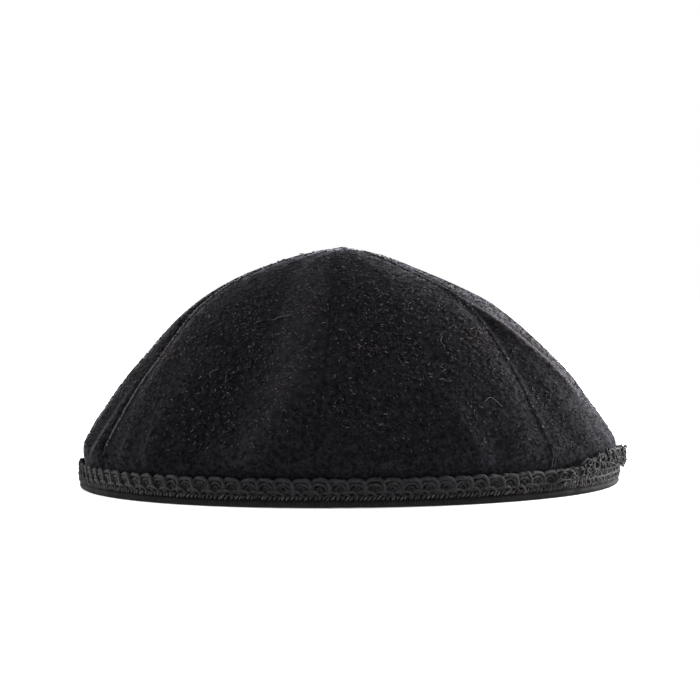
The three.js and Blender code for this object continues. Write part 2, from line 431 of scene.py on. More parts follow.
@dataclass(frozen=True)
class VelvetFinish:
    """Black velvet's right side: a deep ground with paler tufts, clouds and curls, painted light and shade,
    and a sheen.

    Sizes are in metres. fallen is the share of tone and sheen that is left under the deepest painted shade,
    and hollow is the share of a crushed, highlighted place's paleness that is left between its tufts.
    """

    deep: Colour = (0.0042, 0.0039, 0.0051)
    lit: Colour = (0.0104, 0.0097, 0.0121)
    # Paleness of crushed pile, also used for painted highlight, and of the curls.
    crushed: Colour = (0.023, 0.0216, 0.0246)
    tuft: float = 0.0018
    tuft_range: Range = (0.40, 0.66)
    tuft_depth: float = 0.0006
    tuft_strength: float = 0.8
    cloud: float = 0.011
    cloud_range: Range = (0.35, 0.65)
    cloud_share: float = 0.35
    fallen: float = 0.1
    hollow: float = 0.45
    curl: float = 0.0028
    curl_width: float = 0.03
    curl_share: float = 0.38
    roughness: float = 0.95
    gloss: float = 0.03
    sheen: float = 0.022
    edge_sheen: float = 0.62
    edge_sharpness: float = 8.5
    sheen_roughness: float = 0.3

    def material(self) -> bpy.types.Material:
        """Make the velvet's material."""
        recipe = Recipe("velvet")
        place = recipe.coordinates("Object")
        tufts = recipe.noise(place, self.tuft, 1.0)
        clouds = recipe.ramp(recipe.noise(place, self.cloud, 2.0), *self.cloud_range, 0.0, self.cloud_share)
        grain = recipe.ramp(tufts, *self.tuft_range)
        # Painted light: where negative, painted shade takes tone and sheen away; where positive, crushed pile
        # with painted highlight.
        crush_and_painted_light = recipe.attribute("crush_and_painted_light")
        fallen = recipe.ramp(crush_and_painted_light, -1.0, 0.0, self.fallen, 1.0)
        share = recipe.maths("MULTIPLY", recipe.maths("ADD", grain, clouds), fallen)
        ground = recipe.blend(share, self.deep, self.lit)
        risen = recipe.ramp(crush_and_painted_light, 0.0, 1.0)
        raised = recipe.maths("MULTIPLY", risen, recipe.ramp(grain, 0.0, 1.0, self.hollow, 1.0))
        winding = recipe.maths("SUBTRACT", recipe.noise(place, self.curl, 2.0), 0.5)
        off_curl = recipe.maths("ABSOLUTE", winding, 0.0)
        curls = recipe.ramp(off_curl, 0.0, self.curl_width, self.curl_share, 0.0)
        recipe.colour(recipe.blend(recipe.maths("MAXIMUM", raised, curls), ground, self.crushed))
        recipe.relief(tufts, self.tuft_depth, self.tuft_strength)
        recipe.settle(Roughness=self.roughness, Specular_IOR_Level=self.gloss)
        recipe.settle(Sheen_Roughness=self.sheen_roughness, Sheen_Tint=PILE_TINT)
        recipe.rim_sheen(self.sheen, self.edge_sheen, self.edge_sharpness, fallen)
        return recipe.material


@dataclass(frozen=True)
class ReverseFinish:
    """The velvet's wrong side: a plain dark weave with a little fuzz.

    thread is the weave's spacing in millimetres, and the other sizes are in metres.
    """

    dark: Colour = (0.010, 0.0098, 0.0105)
    pale: Colour = (0.030, 0.029, 0.031)
    thread: float = 0.42
    waver: float = 0.6
    fuzz: float = 0.0012
    weave_share: float = 0.6
    fuzz_share: float = 0.6
    weave_depth: float = 0.00015
    weave_strength: float = 0.7

    def material(self) -> bpy.types.Material:
        """Make the reverse's material, whose threads follow the UV map in centimetres of cloth."""
        recipe = Recipe("velvet_reverse")
        lay = recipe.coordinates("UV")
        threads = []
        for direction in ("X", "Y"):
            # At scale 1 a wave texture has about pi bands in each unit
            wave = recipe.node(
                "ShaderNodeTexWave",
                {"bands_direction": direction},
                Scale=MM_PER_CM / self.thread / math.pi,
                Distortion=self.waver,
                Detail=1.0,
                Detail_Scale=4.0,
            )
            recipe.join(lay, wave.inputs["Vector"])
            threads.append(wave.outputs["Fac"])
        weave = recipe.maths("MULTIPLY", threads[0], threads[1])
        fuzz = recipe.noise(recipe.coordinates("Object"), self.fuzz, 4.0)
        woven = recipe.maths("MULTIPLY", weave, self.weave_share)
        tone = recipe.maths("ADD", woven, recipe.maths("MULTIPLY", fuzz, self.fuzz_share))
        recipe.colour(recipe.blend(tone, self.dark, self.pale))
        recipe.relief(weave, self.weave_depth, self.weave_strength)
        recipe.settle(Roughness=0.9, Specular_IOR_Level=0.2, Sheen_Weight=0.05)
        return recipe.material


@dataclass(frozen=True)
class FibreFinish:
    """Single fibres of one tone, such as the velvet's pile or lint on it."""

    name: str
    colour: Colour
    sheen: float = 0.03
    edge_sheen: float = 0.03
    sharpness: float = 8.5
    sheen_roughness: float = 0.3
    roughness: float = 0.9
    gloss: float = 0.03

    def material(self) -> bpy.types.Material:
        """Make the fibres' material."""
        recipe = Recipe(self.name)
        recipe.settle(Base_Color=(*self.colour, 1.0), Roughness=self.roughness, Specular_IOR_Level=self.gloss)
        recipe.settle(Sheen_Roughness=self.sheen_roughness, Sheen_Tint=PILE_TINT)
        recipe.rim_sheen(self.sheen, self.edge_sheen, self.sharpness)
        return recipe.material


@dataclass(frozen=True)
class CordFinish:
    """Twisted thread, whose plies run slantwise round the cord.

    ply is a ply's length along the cord in millimetres, and the other sizes are in metres. between_plies and
    under_fuzz are the shares of tone that are left there, and the dark between the plies is painted shade.
    """

    name: str
    shadow: Colour
    crown: Colour
    ply: float = 0.42
    slant: float = 2.0
    between_plies: float = 0.5
    fuzz: float = 0.0012
    fuzz_range: Range = (0.36, 0.64)
    under_fuzz: float = 0.3
    fuzz_relief: float = 0.6
    depth: float = 0.00012
    strength: float = 0.8

    def material(self) -> bpy.types.Material:
        """Make the cord's material, whose UV map holds centimetres along and turns around."""
        recipe = Recipe(self.name)
        parts = recipe.node("ShaderNodeSeparateXYZ")
        recipe.join(recipe.coordinates("UV"), parts.inputs["Vector"])
        run = recipe.maths("MULTIPLY", parts.outputs["X"], MM_PER_CM / self.ply * CIRCLE)
        turn = recipe.maths("MULTIPLY", parts.outputs["Y"], self.slant * CIRCLE)
        plies = recipe.ramp(recipe.maths("SINE", recipe.maths("ADD", run, turn), 0.0), -1.0, 1.0)
        fuzz = recipe.noise(recipe.coordinates("Object"), self.fuzz, 3.0)
        # Painted shade between the plies.
        twisted = recipe.ramp(plies, 0.0, 1.0, self.between_plies, 1.0)
        fuzzed = recipe.ramp(fuzz, *self.fuzz_range, self.under_fuzz, 1.0)
        recipe.colour(recipe.blend(recipe.maths("MULTIPLY", twisted, fuzzed), self.shadow, self.crown))
        height = recipe.maths("ADD", plies, recipe.maths("MULTIPLY", fuzz, self.fuzz_relief))
        recipe.relief(height, self.depth, self.strength)
        recipe.settle(Roughness=0.7, Specular_IOR_Level=0.10, Sheen_Weight=0.03, Sheen_Roughness=0.4)
        return recipe.material


@dataclass(frozen=True)
class RibbonFinish:
    """Ribbed ribbon: a dark weave whose ribs are paler, with painted shade between them, and a slight gloss.
    Sizes are in metres.
    """

    dark: Colour = (0.004, 0.0037, 0.0039)
    pale: Colour = (0.038, 0.0350, 0.0375)
    thread: float = 0.0004
    thread_share: float = 0.8
    patch: float = 0.006
    patch_share: float = 0.3
    tone_range: Range = (0.35, 0.8)
    sunk_range: Range = (0.1, 0.7)
    painted_shade_between_ribs: float = 0.1
    depth: float = 0.0001
    strength: float = 0.6

    def material(self) -> bpy.types.Material:
        """Make the ribbon's material."""
        recipe = Recipe("ribbed_ribbon")
        place = recipe.coordinates("Object")
        threads = recipe.noise(place, self.thread, 3.0)
        woven = recipe.maths("MULTIPLY", threads, self.thread_share)
        patches = recipe.maths("MULTIPLY", recipe.noise(place, self.patch, 2.0), self.patch_share)
        tone = recipe.ramp(recipe.maths("ADD", woven, patches), *self.tone_range)
        # Painted shade between the ribs.
        ribbed = recipe.ramp(recipe.attribute("sunk"), *self.sunk_range, 1.0, self.painted_shade_between_ribs)
        recipe.colour(recipe.blend(recipe.maths("MULTIPLY", tone, ribbed), self.dark, self.pale))
        recipe.relief(threads, self.depth, self.strength)
        recipe.settle(Roughness=0.75, Specular_IOR_Level=0.05, Sheen_Weight=0.02, Sheen_Roughness=0.4)
        return recipe.material


# The crown's shape


@dataclass(frozen=True)
class Section:
    """One level of the crown's outer face, in millimetres, with how far its middle lies towards +X."""

    height: float
    radius: float
    lean: float


class Lip(Enum):
    """Which side of a seam stands proud of the other."""

    BEFORE = -1.0
    NEITHER = 0.0
    AFTER = 1.0


@dataclass(frozen=True)
class Seam:
    """A seam's azimuth at the rim and at the peak, and the side that stands proud.

    depth is its groove's, and valley is how far the lower side sinks beside it and how deep the painted shade
    there is.
    """

    rim: float
    crown: float
    lip: Lip
    depth: float
    valley: float


@dataclass(frozen=True)
class Fold:
    """A crease from folding the cap flat: its ends, how far it rises, its width, and its paint on the pile.

    Its paint is positive for crushed pile with painted highlight, and negative for painted shade, in dents.
    bow is
    1 for a straight crease, and more where most of its turn lies near its low end. worn is the radius of a
    thin pale line along it, crushed pile with painted highlight, or 0.
    """

    low_azimuth: float
    low_height: float
    high_azimuth: float
    high_height: float
    rise: float
    width: float
    crush_and_painted_light: float = 0.0
    bow: float = 1.0
    worn: float = 0.0


@dataclass
class Crown:
    """The dome that all the gores share, in millimetres about the rim's middle."""

    sections: tuple[Section, ...] = (
        Section(1.3, 86.8, 0.0),
        Section(5.4, 86.9, 0.0),
        Section(8.6, 88.0, 0.0),
        Section(12.8, 88.7, 0.1),
        Section(20.0, 85.3, -0.1),
        Section(28.0, 79.7, -0.3),
        Section(36.0, 73.8, -0.3),
        Section(44.0, 66.4, -0.7),
        Section(52.0, 58.6, -1.3),
        Section(59.4, 49.8, -2.1),
        Section(66.0, 38.6, -3.4),
        Section(71.3, 27.0, -4.0),
        Section(75.2, 16.6, -3.2),
        Section(77.2, 9.2, -2.0),
        Section(77.9, 3.8, -1.2),
        Section(78.5, 0.0, -1.0),
    )
    seams: tuple[Seam, ...] = (
        Seam(-7.0, -2.0, Lip.NEITHER, 0.6, 0.0),
        Seam(45.0, 63.5, Lip.BEFORE, 0.6, 0.3),
        Seam(108.0, 119.0, Lip.AFTER, 1.0, 0.9),
        Seam(171.0, 178.0, Lip.NEITHER, 0.7, 0.0),
        Seam(232.0, 233.0, Lip.BEFORE, 1.0, 0.9),
        Seam(299.0, 280.0, Lip.AFTER, 1.1, 2.0),
    )
    folds: tuple[Fold, ...] = (
        # Positive paint is crushed pile with painted highlight on ridges; negative paint is painted shade in
        # dents.
        Fold(-22.5, 10.0, -13.5, 72.0, 1.5, 6.5, 0.8, 3.0),
        Fold(-34.0, 10.0, -28.0, 48.0, -2.2, 11.0, -0.45),
        Fold(-44.5, 9.0, -44.5, 32.0, 0.9, 3.5, 0.2),
        Fold(-44.3, 9.0, -44.8, 22.0, 0.4, 0.9, 0.5, 1.0, 0.17),
        Fold(-52.5, 9.0, -53.0, 24.0, 0.4, 1.8, 0.2),
        Fold(-72.0, 12.0, -74.0, 50.0, -1.4, 6.0),
        Fold(27.5, 9.0, 22.0, 32.0, 1.1, 5.0, 0.15),
        Fold(27.6, 9.0, 24.0, 26.0, 0.4, 1.0, 0.4, 1.0, 0.15),
        Fold(53.0, 12.0, 54.0, 40.0, -1.6, 6.0, -0.1),
        Fold(70.0, 30.0, 56.0, 64.0, 1.2, 4.0, 0.4),
        Fold(68.3, 32.0, 56.0, 63.0, 0.5, 0.9, 0.9, 1.2, 0.34),
        # No rise: a broad pale patch towards the right outline, painted highlight.
        Fold(84.0, 30.0, 78.0, 62.0, 0.0, 13.0, 1.0),
        Fold(150.0, 11.0, 142.0, 62.0, 1.4, 7.0, 0.5),
        Fold(203.0, 10.0, 207.0, 52.0, -1.8, 11.0, -0.4),
        Fold(251.0, 9.0, 256.0, 34.0, 1.0, 5.0, 0.4),
    )
    puff: float = 1.3
    puff_edge: float = 0.16
    fold_fade: float = 0.22
    fold_heights: Range = (9.0, 13.0)
    shape_heights: Range = (7.0, 13.0)
    shape_radii: Range = (2.0, 16.0)
    groove_width: float = 0.5
    pressed_share: float = 0.8
    pressed_heights: Range = (52.0, 66.0)
    lip_rise: float = 0.5
    lip_from_seam: float = 1.1
    lip_width: float = 0.8
    valley_from_seam: float = 2.4
    valley_width: float = 2.6
    crush_heights: Range = (9.0, 14.0)
    crush_radii: Range = (6.0, 30.0)
    # A pale line of crushed pile with painted highlight beside a proud seam lip.
    pale_lip_line_share: float = 0.9
    pale_lip_line_from_seam: float = 0.8
    pale_lip_line_width: float = 0.6
    # Paler towards the peak.
    paler_peak: float = 0.15
    paler_peak_heights: Range = (60.0, 76.0)
    # Painted shade: a dark band on the sunken side of a seam, and darker towards the foot.
    dark_from_seam: float = 4.5
    dark_width: float = 5.0
    dark_foot: float = 0.30
    dark_foot_heights: Range = (18.0, 45.0)
    unevenness: float = 0.16
    wave_share: float = 0.6
    wave_turns: Range = (13.0, 3.0)
    wave_slants: Range = (0.11, 0.17)
    ripple_turns: float = 41.0
    ripple_slant: float = 0.07
    ripple_height: float = 14.0
    ripple_reach: float = 6.0
    peak_radius: float = 4.0
    fine_steps: int = 800
    table: np.ndarray = field(init=False)
    arc: np.ndarray = field(init=False)

    def __post_init__(self) -> None:
        """Draw the outline finely through its sections."""
        rows = np.array([(level.height, level.radius, level.lean) for level in self.sections])
        steps = np.hypot(np.diff(rows[:, 0]), np.diff(rows[:, 1]))
        at = np.concatenate([[0.0], np.cumsum(steps)])
        slopes = np.gradient(rows, at, axis=0)
        fine = np.linspace(0.0, at[-1], self.fine_steps)
        span = np.clip(np.searchsorted(at, fine, side="right") - 1, 0, len(at) - 2)
        length = (at[span + 1] - at[span])[:, None]
        share = ((fine - at[span]) / length[:, 0])[:, None]
        self.table = (
            (2 * share**3 - 3 * share**2 + 1) * rows[span]
            + (share**3 - 2 * share**2 + share) * length * slopes[span]
            + (3 * share**2 - 2 * share**3) * rows[span + 1]
            + (share**3 - share**2) * length * slopes[span + 1]
        )
        walked = np.hypot(np.diff(self.table[:, 0]), np.diff(self.table[:, 1]))
        self.arc = np.concatenate([[0.0], np.cumsum(walked)])

    @property
    def length(self) -> float:
        """The cloth's length from the rim to the peak."""
        return float(self.arc[-1])

    @property
    def height(self) -> float:
        """The peak's height."""
        return self.sections[-1].height

    def level(self, arc: np.ndarray) -> tuple[np.ndarray, ...]:
        """Height, radius, lean, and the outward direction's parts outward and up, at a length of cloth."""
        height, radius, lean = (np.interp(arc, self.arc, self.table[:, part]) for part in range(3))
        rising = np.gradient(self.table, self.arc, axis=0)
        up = np.interp(arc, self.arc, rising[:, 0])
        inward = np.interp(arc, self.arc, rising[:, 1])
        scale = np.maximum(np.hypot(up, inward), 1e-9)
        return height, radius, lean, up / scale, -inward / scale

    def seam_azimuth(self, number: int, height: np.ndarray) -> np.ndarray:
        """Where a seam runs at a height."""
        seam = self.seams[number]
        return seam.rim + (seam.crown - seam.rim) * (height / self.height) ** 2

    def span(self, number: int, height: np.ndarray) -> tuple[np.ndarray, np.ndarray]:
        """A gore's first azimuth and how many degrees it spans at a height."""
        start = self.seam_azimuth(number, height)
        end = self.seam_azimuth((number + 1) % len(self.seams), height)
        return start, np.mod(end - start, FULL_TURN)

    def breadth(self, number: int, height: np.ndarray, radius: np.ndarray) -> np.ndarray:
        """A gore's width in millimetres at a height and its radius."""
        return np.radians(self.span(number, height)[1]) * radius

    def seams_beside(
        self, number: int, across: np.ndarray, width: np.ndarray
    ) -> tuple[tuple[Seam, np.ndarray, Lip], ...]:
        """Each of a gore's two seams, how many millimetres away it is, and the side that the gore is on."""
        following = self.seams[(number + 1) % len(self.seams)]
        return (
            (self.seams[number], across * width, Lip.AFTER),
            (following, (1.0 - across) * width, Lip.BEFORE),
        )

    @staticmethod
    def fold_path(fold: Fold, height: np.ndarray) -> tuple[np.ndarray, np.ndarray]:
        """The share of a fold's length, and its azimuth, at a height."""
        along = (height - fold.low_height) / (fold.high_height - fold.low_height)
        gone = 1.0 - np.clip(1.0 - along, 0.0, None) ** fold.bow
        return along, fold.low_azimuth + (fold.high_azimuth - fold.low_azimuth) * gone

    def fold_share(
        self, fold: Fold, azimuth: np.ndarray, height: np.ndarray, radius: np.ndarray
    ) -> np.ndarray:
        """How much of a fold's full rise a place has."""
        along, path = self.fold_path(fold, height)
        turn = np.mod(azimuth - path + FULL_TURN / 2, FULL_TURN) - FULL_TURN / 2
        ends = smoothstep(along, -self.fold_fade, self.fold_fade) * (
            1.0 - smoothstep(along, 1.0 - self.fold_fade, 1.0 + self.fold_fade)
        )
        return ends * bump(np.radians(turn) * radius, fold.width) * smoothstep(height, *self.fold_heights)

    def swell(
        self, number: int, across: np.ndarray, azimuth: np.ndarray, height: np.ndarray, radius: np.ndarray
    ) -> np.ndarray:
        """How far the cloth stands out from the plain dome, by its puff, seams, folds and unevenness."""
        width = self.breadth(number, height, radius)
        edge = np.minimum(across, 1.0 - across) / self.puff_edge
        risen = self.puff * np.sin(math.pi * height / self.height) * (smoothstep(edge, 0.0, 1.0) - 1.0)
        for fold in self.folds:
            risen = risen + fold.rise * self.fold_share(fold, azimuth, height, radius)
        shown = smoothstep(height, *self.shape_heights) * smoothstep(radius, *self.shape_radii)
        pressed = 1.0 - self.pressed_share * smoothstep(height, *self.pressed_heights)
        for seam, away, side in self.seams_beside(number, across, width):
            groove = seam.depth * bump(away, self.groove_width) * shown
            risen = risen - (groove * pressed if seam.lip is Lip.NEITHER else groove)
            if seam.lip is side:
                risen = risen + self.lip_rise * bump(away - self.lip_from_seam, self.lip_width) * shown
            elif seam.lip is not Lip.NEITHER:
                risen = risen - seam.valley * bump(away - self.valley_from_seam, self.valley_width) * shown
        angle = np.radians(azimuth)
        waves = np.sin(angle * self.wave_turns[0] + height * self.wave_slants[0])
        waves = waves * np.sin(height * self.wave_slants[1] + angle * self.wave_turns[1])
        ripples = np.sin(angle * self.ripple_turns + height * self.ripple_slant)
        ripples = ripples * bump(height - self.ripple_height, self.ripple_reach)
        return risen + (waves * self.wave_share + ripples) * self.unevenness * shown

    def place(self, number: int, across: np.ndarray, arc: np.ndarray, lift: float | np.ndarray) -> np.ndarray:
        """Points of a gore.

        Args:
            number: Which gore.
            across: Share of the gore's width, from its first seam.
            arc: Length of cloth up from the rim.
            lift: How far outside the crown's face, or inside it where negative.

        Returns:
            The points in millimetres about the rim's middle.
        """
        height, radius, lean, out, up = self.level(arc)
        start, width = self.span(number, height)
        azimuth = start + width * across
        stand = self.swell(number, across, azimuth, height, radius) + lift
        at_peak = smoothstep(radius, 0.0, self.peak_radius)
        east, north = heading(azimuth)
        level = np.maximum(radius + out * stand * at_peak, 0.0)
        return np.stack([level * east + lean, level * north, height + up * stand], axis=-1)

    def crush_and_painted_light(self, number: int, across: np.ndarray, arc: np.ndarray) -> np.ndarray:
        """From -1 to 1: pale for crushed pile with painted highlight, dark for painted shade."""
        height, radius, _, _, _ = self.level(arc)
        start, width = self.span(number, height)
        azimuth = start + width * across
        worn = np.zeros_like(arc)
        # Folds: crushed pile with painted highlight on ridges, painted shade in dents.
        for fold in self.folds:
            worn = worn + fold.crush_and_painted_light * self.fold_share(fold, azimuth, height, radius)
        shown = smoothstep(height, *self.crush_heights) * smoothstep(radius, *self.crush_radii)
        for seam, away, side in self.seams_beside(number, across, np.radians(width) * radius):
            deep = min(seam.valley, 1.0)
            if seam.lip is side:
                # A pale line of crushed pile with painted highlight beside the proud lip.
                line = bump(away - self.pale_lip_line_from_seam, self.pale_lip_line_width)
                worn = worn + self.pale_lip_line_share * deep * line * shown
            elif seam.lip is not Lip.NEITHER:
                # Painted shade in a band on the sunken side of the seam.
                worn = worn - deep * bump(away - self.dark_from_seam, self.dark_width) * shown
        # Paler towards the peak, and painted shade towards the foot.
        at_foot = 1.0 - smoothstep(height, *self.dark_foot_heights)
        worn = worn + self.paler_peak * smoothstep(height, *self.paler_peak_heights) - self.dark_foot * at_foot
        return np.clip(worn, -1.0, 1.0)


# Velvet


@dataclass
class VelvetGore:
    """One gore: its cloth, and the pile that stands on it.

    Sizes are in millimetres. edge_ends are how far its worn lines, crushed pile with painted highlight, stop
    short of the rim and the peak, edge_fades are the lengths over which they fade there, and edge_lost is the
    share lost at the peak's end.
    """

    crown: Crown
    middle: np.ndarray
    number: int
    node: str
    columns: int = 66
    rows: int = 88
    strips: int = 200
    wall: float = 1.4
    crisp_angle: float = 50.0
    crowding: float = 0.72
    pile_length: float = 0.55
    pile_lengths: Range = (0.55, 1.25)
    pile_root: float = -0.4
    pile_sunk: float = 0.08
    pile_foot: float = 6.5
    clumps: int = 4700
    tries_per_clump: int = 3
    hairs_per_clump: int = 3
    clump_spread: float = 0.2
    clump_lean: float = 0.6
    hair_lean: float = 0.3
    hair_width: float = 0.56
    nap: float = -0.3
    nudge_across: float = 0.002
    nudge_up: float = 0.1
    bare_seam: float = 0.2
    bare_radii: Range = (8.0, 30.0)
    pale_per_crush_and_light: float = 0.6
    pale_ground: float = 0.08
    pale_chance: float = 0.72
    pale_rarity: float = 2.4
    pale_scatter: float = 0.04
    mottle: float = 0.07
    mottle_waves: int = 14
    mottle_size: Range = (2.2, 5.0)
    shaded: float = -0.6
    edge_from_seam: float = 0.6
    edge_scatter: float = 0.07
    edge_radius: float = 0.27
    edge_lift: float = 0.5
    edge_waver: float = 0.04
    edge_ends: Range = (12.0, 22.0)
    edge_fades: Range = (8.0, 25.0)
    edge_lost: float = 0.8
    edge_points: int = 320
    edge_radii: Range = (0.55, 1.2)
    least_edge: float = 0.03
    plain_valley: float = 1.0
    faint_share: float = 0.6
    faint_step: int = 2
    crease_scatter: float = 0.14
    crease_taper: float = 0.8
    crease_points: int = 10
    below: float = -20.0
    seed: int = 11

    def spread(self, share: np.ndarray) -> np.ndarray:
        """Crowd the columns of a grid towards the seams."""
        return share - self.crowding * np.sin(CIRCLE * share) / CIRCLE

    def face(self, across: np.ndarray, arc: np.ndarray, lift: float | np.ndarray = 0.0) -> np.ndarray:
        """Points on the cloth's outer face, or lift millimetres over it."""
        return self.crown.place(self.number, across, arc, self.pile_root + lift) + self.middle

    def width_at(self, arc: np.ndarray) -> np.ndarray:
        """The gore's width at a length of cloth."""
        height, radius, _, _, _ = self.crown.level(arc)
        return self.crown.breadth(self.number, height, radius)

    def surface(self, across: np.ndarray, up: np.ndarray) -> np.ndarray:
        """The cloth's outer face for shares across and up."""
        return self.face(self.spread(across), up * self.crown.length)

    def flat_cloth(self, across: np.ndarray, up: np.ndarray) -> np.ndarray:
        """The cut cloth's own coordinates, in millimetres."""
        arc = up * self.crown.length
        return np.stack([(self.spread(across) - 0.5) * self.width_at(arc), arc], axis=-1)

    def build_cloth(self, velvet: bpy.types.Material, reverse: bpy.types.Material) -> bpy.types.Object:
        """Make the gore's cloth.

        Args:
            velvet: The right side's material.
            reverse: The wrong side's material.

        Returns:
            The cloth, with its wall.
        """
        piece = wrapped_grid(f"velvet_{self.node}", self.columns, self.rows, self.surface, self.flat_cloth)
        mesh = piece.data
        share = self.shares_of(piece)
        give_attribute(mesh, "crush_and_painted_light", self.crown.crush_and_painted_light(self.number, share[:, 0], share[:, 1]))
        mesh.materials.append(velvet)
        mesh.materials.append(reverse)
        thicken = piece.modifiers.new("wall", "SOLIDIFY")
        thicken.thickness = self.wall * MM
        thicken.offset = -1.0
        thicken.use_even_offset = False
        thicken.material_offset = 1
        thicken.material_offset_rim = 1
        apply_modifiers(piece)
        select_only(piece)
        bpy.ops.object.shade_smooth_by_angle(angle=math.radians(self.crisp_angle))
        return piece

    def shares_of(self, piece: bpy.types.Object) -> np.ndarray:
        """Read back each vertex's share across and its length of cloth from the UV map."""
        mesh = piece.data
        lay = np.empty(len(mesh.loops) * 2)
        mesh.uv_layers.active.data.foreach_get("uv", lay)
        found = np.zeros((len(mesh.vertices), 2))
        found[corner_vertices(mesh)] = lay.reshape(-1, 2) * MM_PER_CM
        width = np.maximum(self.width_at(found[:, 1]), LEAST_WIDTH)
        found[:, 0] = np.clip(found[:, 0] / width + 0.5, 0.0, 1.0)
        return found

    def flat_size(self) -> tuple[tuple[float, float], float]:
        """The cut gore's width and length, and its area, in metres."""
        arc = np.linspace(0.0, self.crown.length, self.strips)
        width = self.width_at(arc)
        area = float(np.sum((width[1:] + width[:-1]) / 2.0 * np.diff(arc)))
        return (float(width.max()) * MM, self.crown.length * MM), area * MM * MM

    def build_pile(self, tones: list[bpy.types.Material]) -> bpy.types.Object:
        """Make the gore's pile, as clumps of small three-sided spikes that lean at random.

        Args:
            tones: Painted shade's material, the others from darkest to palest, and a worn edge's with painted
                highlight.

        Returns:
            The pile, with the worn lines of its seams and creases, which carry painted highlight.
        """
        rng = np.random.default_rng(self.seed + self.number)
        arc = rng.uniform(0.0, self.crown.length, self.clumps * self.tries_per_clump)
        height, radius, _, _, _ = self.crown.level(arc)
        across = rng.uniform(0.0, 1.0, len(arc))
        width = self.crown.breadth(self.number, height, radius)
        bare = self.bare_seam * smoothstep(radius, *self.bare_radii)
        clear = np.minimum(across, 1.0 - across) * width > bare
        kept = (rng.uniform(0.0, 1.0, len(arc)) < radius / radius.max()) & (height > self.pile_foot) & clear
        arc, across, width = (values[kept][: self.clumps] for values in (arc, across, width))
        spots = self.face(across, arc)
        sideways = unit(self.face(across + self.nudge_across, arc) - spots)[:, None, :]
        upwards = unit(self.face(across, arc + self.nudge_up) - spots)[:, None, :]
        outward = unit(np.cross(sideways, upwards))
        clump = (len(arc), 1, 1)
        hair = (len(arc), self.hairs_per_clump, 1)
        lean_side = rng.normal(0.0, self.clump_lean, clump) + rng.normal(0.0, self.hair_lean, hair)
        lean_up = rng.normal(self.nap, self.clump_lean, clump) + rng.normal(0.0, self.hair_lean, hair)
        aim = unit(outward + sideways * lean_side + upwards * lean_up)
        root = (
            spots[:, None, :]
            - outward * self.pile_sunk
            + sideways * rng.normal(0.0, self.clump_spread, hair)
            + upwards * rng.normal(0.0, self.clump_spread, hair)
        )
        long = self.pile_length * rng.uniform(*self.pile_lengths, hair)
        turn = rng.uniform(0.0, CIRCLE, hair)
        usual = len(tones) - 1
        tone = self.choose_tones(rng, across, arc, width, usual)
        bundle = Bundle()
        tip = root + aim * long
        points = bundle.spikes(root, tip, (sideways, upwards), turn, self.hair_width / 2.0, tone)
        facing = [np.broadcast_to(outward[:, :, None, :], points.shape).reshape(-1, 3)]
        facing.append(self.lay_edges(bundle, rng, usual))
        piece = bundle.piece(f"pile_{self.node}", tones)
        Bundle.shade_as(piece, np.concatenate(facing))
        return piece

    def choose_tones(
        self, rng: np.random.Generator, across: np.ndarray, arc: np.ndarray, width: np.ndarray, usual: int
    ) -> np.ndarray:
        """Choose each hair's tone: mostly dark, mottled, pale for crushed pile and painted highlight, and
        painted shade.

        Args:
            rng: The source of chance.
            across: Each clump's share of the gore's width.
            arc: Its length of cloth up from the rim.
            width: The gore's width there.
            usual: How many tones there are, with the shaded one first.

        Returns:
            The tones, clump by clump.
        """
        worn = self.crown.crush_and_painted_light(self.number, across, arc)[:, None]
        mottle = np.zeros((len(arc), 1))
        for _ in range(self.mottle_waves):
            way, size = rng.uniform(0.0, math.pi), rng.uniform(*self.mottle_size)
            lay = (across * width)[:, None] * math.cos(way) + arc[:, None] * math.sin(way)
            mottle += np.cos(lay * CIRCLE / size + rng.uniform(0.0, CIRCLE))
        mottle *= self.mottle / math.sqrt(self.mottle_waves / 2.0)
        chance = rng.uniform(0.0, 1.0, (len(arc), 1)) ** self.pale_rarity
        scatter = rng.normal(0.0, self.pale_scatter, (len(arc), self.hairs_per_clump))
        pale = worn * self.pale_per_crush_and_light + self.pale_ground + self.pale_chance * chance + mottle + scatter
        tone = np.clip(1 + (pale * (usual - 1)).astype(int), 1, usual - 1)
        # Where shade is painted, the hair takes the first tone.
        return np.where(worn < self.shaded, 0, tone).ravel()

    def lay_edges(self, bundle: Bundle, rng: np.random.Generator, tone: int) -> np.ndarray:
        """Lay thin lines of crushed pile with painted highlight on the proud side of this gore's seams and
        along its crisp creases.

        Args:
            bundle: Where the lines go.
            rng: The source of chance.
            tone: Which material a plain line takes. A faint one takes a darker one of the pile's.

        Returns:
            The outward direction at each of their vertices.
        """
        facing = [np.zeros((0, 3))]
        low, short = self.edge_ends
        fade_in, fade_out = self.edge_fades
        arc = np.linspace(low, self.crown.length - short, self.edge_points)
        height, radius, _, _, _ = self.crown.level(arc)
        start, turns = self.crown.span(self.number, height)
        width = np.radians(turns) * radius
        faded = smoothstep(arc, low, low + fade_in)
        faded = faded * (1.0 - self.edge_lost * smoothstep(arc, arc[-1] - fade_out, arc[-1]))
        for seam, _, side in self.crown.seams_beside(self.number, np.zeros(1), np.zeros(1)):
            if seam.lip is not side:
                continue
            away = (self.edge_from_seam + rng.normal(0.0, self.edge_scatter, len(arc))) / width
            across = away if side is Lip.AFTER else 1.0 - away
            plain = seam.valley > self.plain_valley
            thick = self.edge_radius * faded * (1.0 if plain else self.faint_share)
            colour = tone if plain else tone - self.faint_step
            facing.append(self.lay_line(bundle, rng, across, arc, thick, colour))
        for fold in self.crown.folds:
            along, path = self.crown.fold_path(fold, height)
            across = np.mod(path - start, FULL_TURN) / turns
            here = (along > 0.0) & (along < 1.0) & (across < 1.0)
            count = np.count_nonzero(here)
            if fold.worn > 0.0 and count > self.crease_points:
                thick = fold.worn * np.sin(math.pi * along[here]) ** self.crease_taper
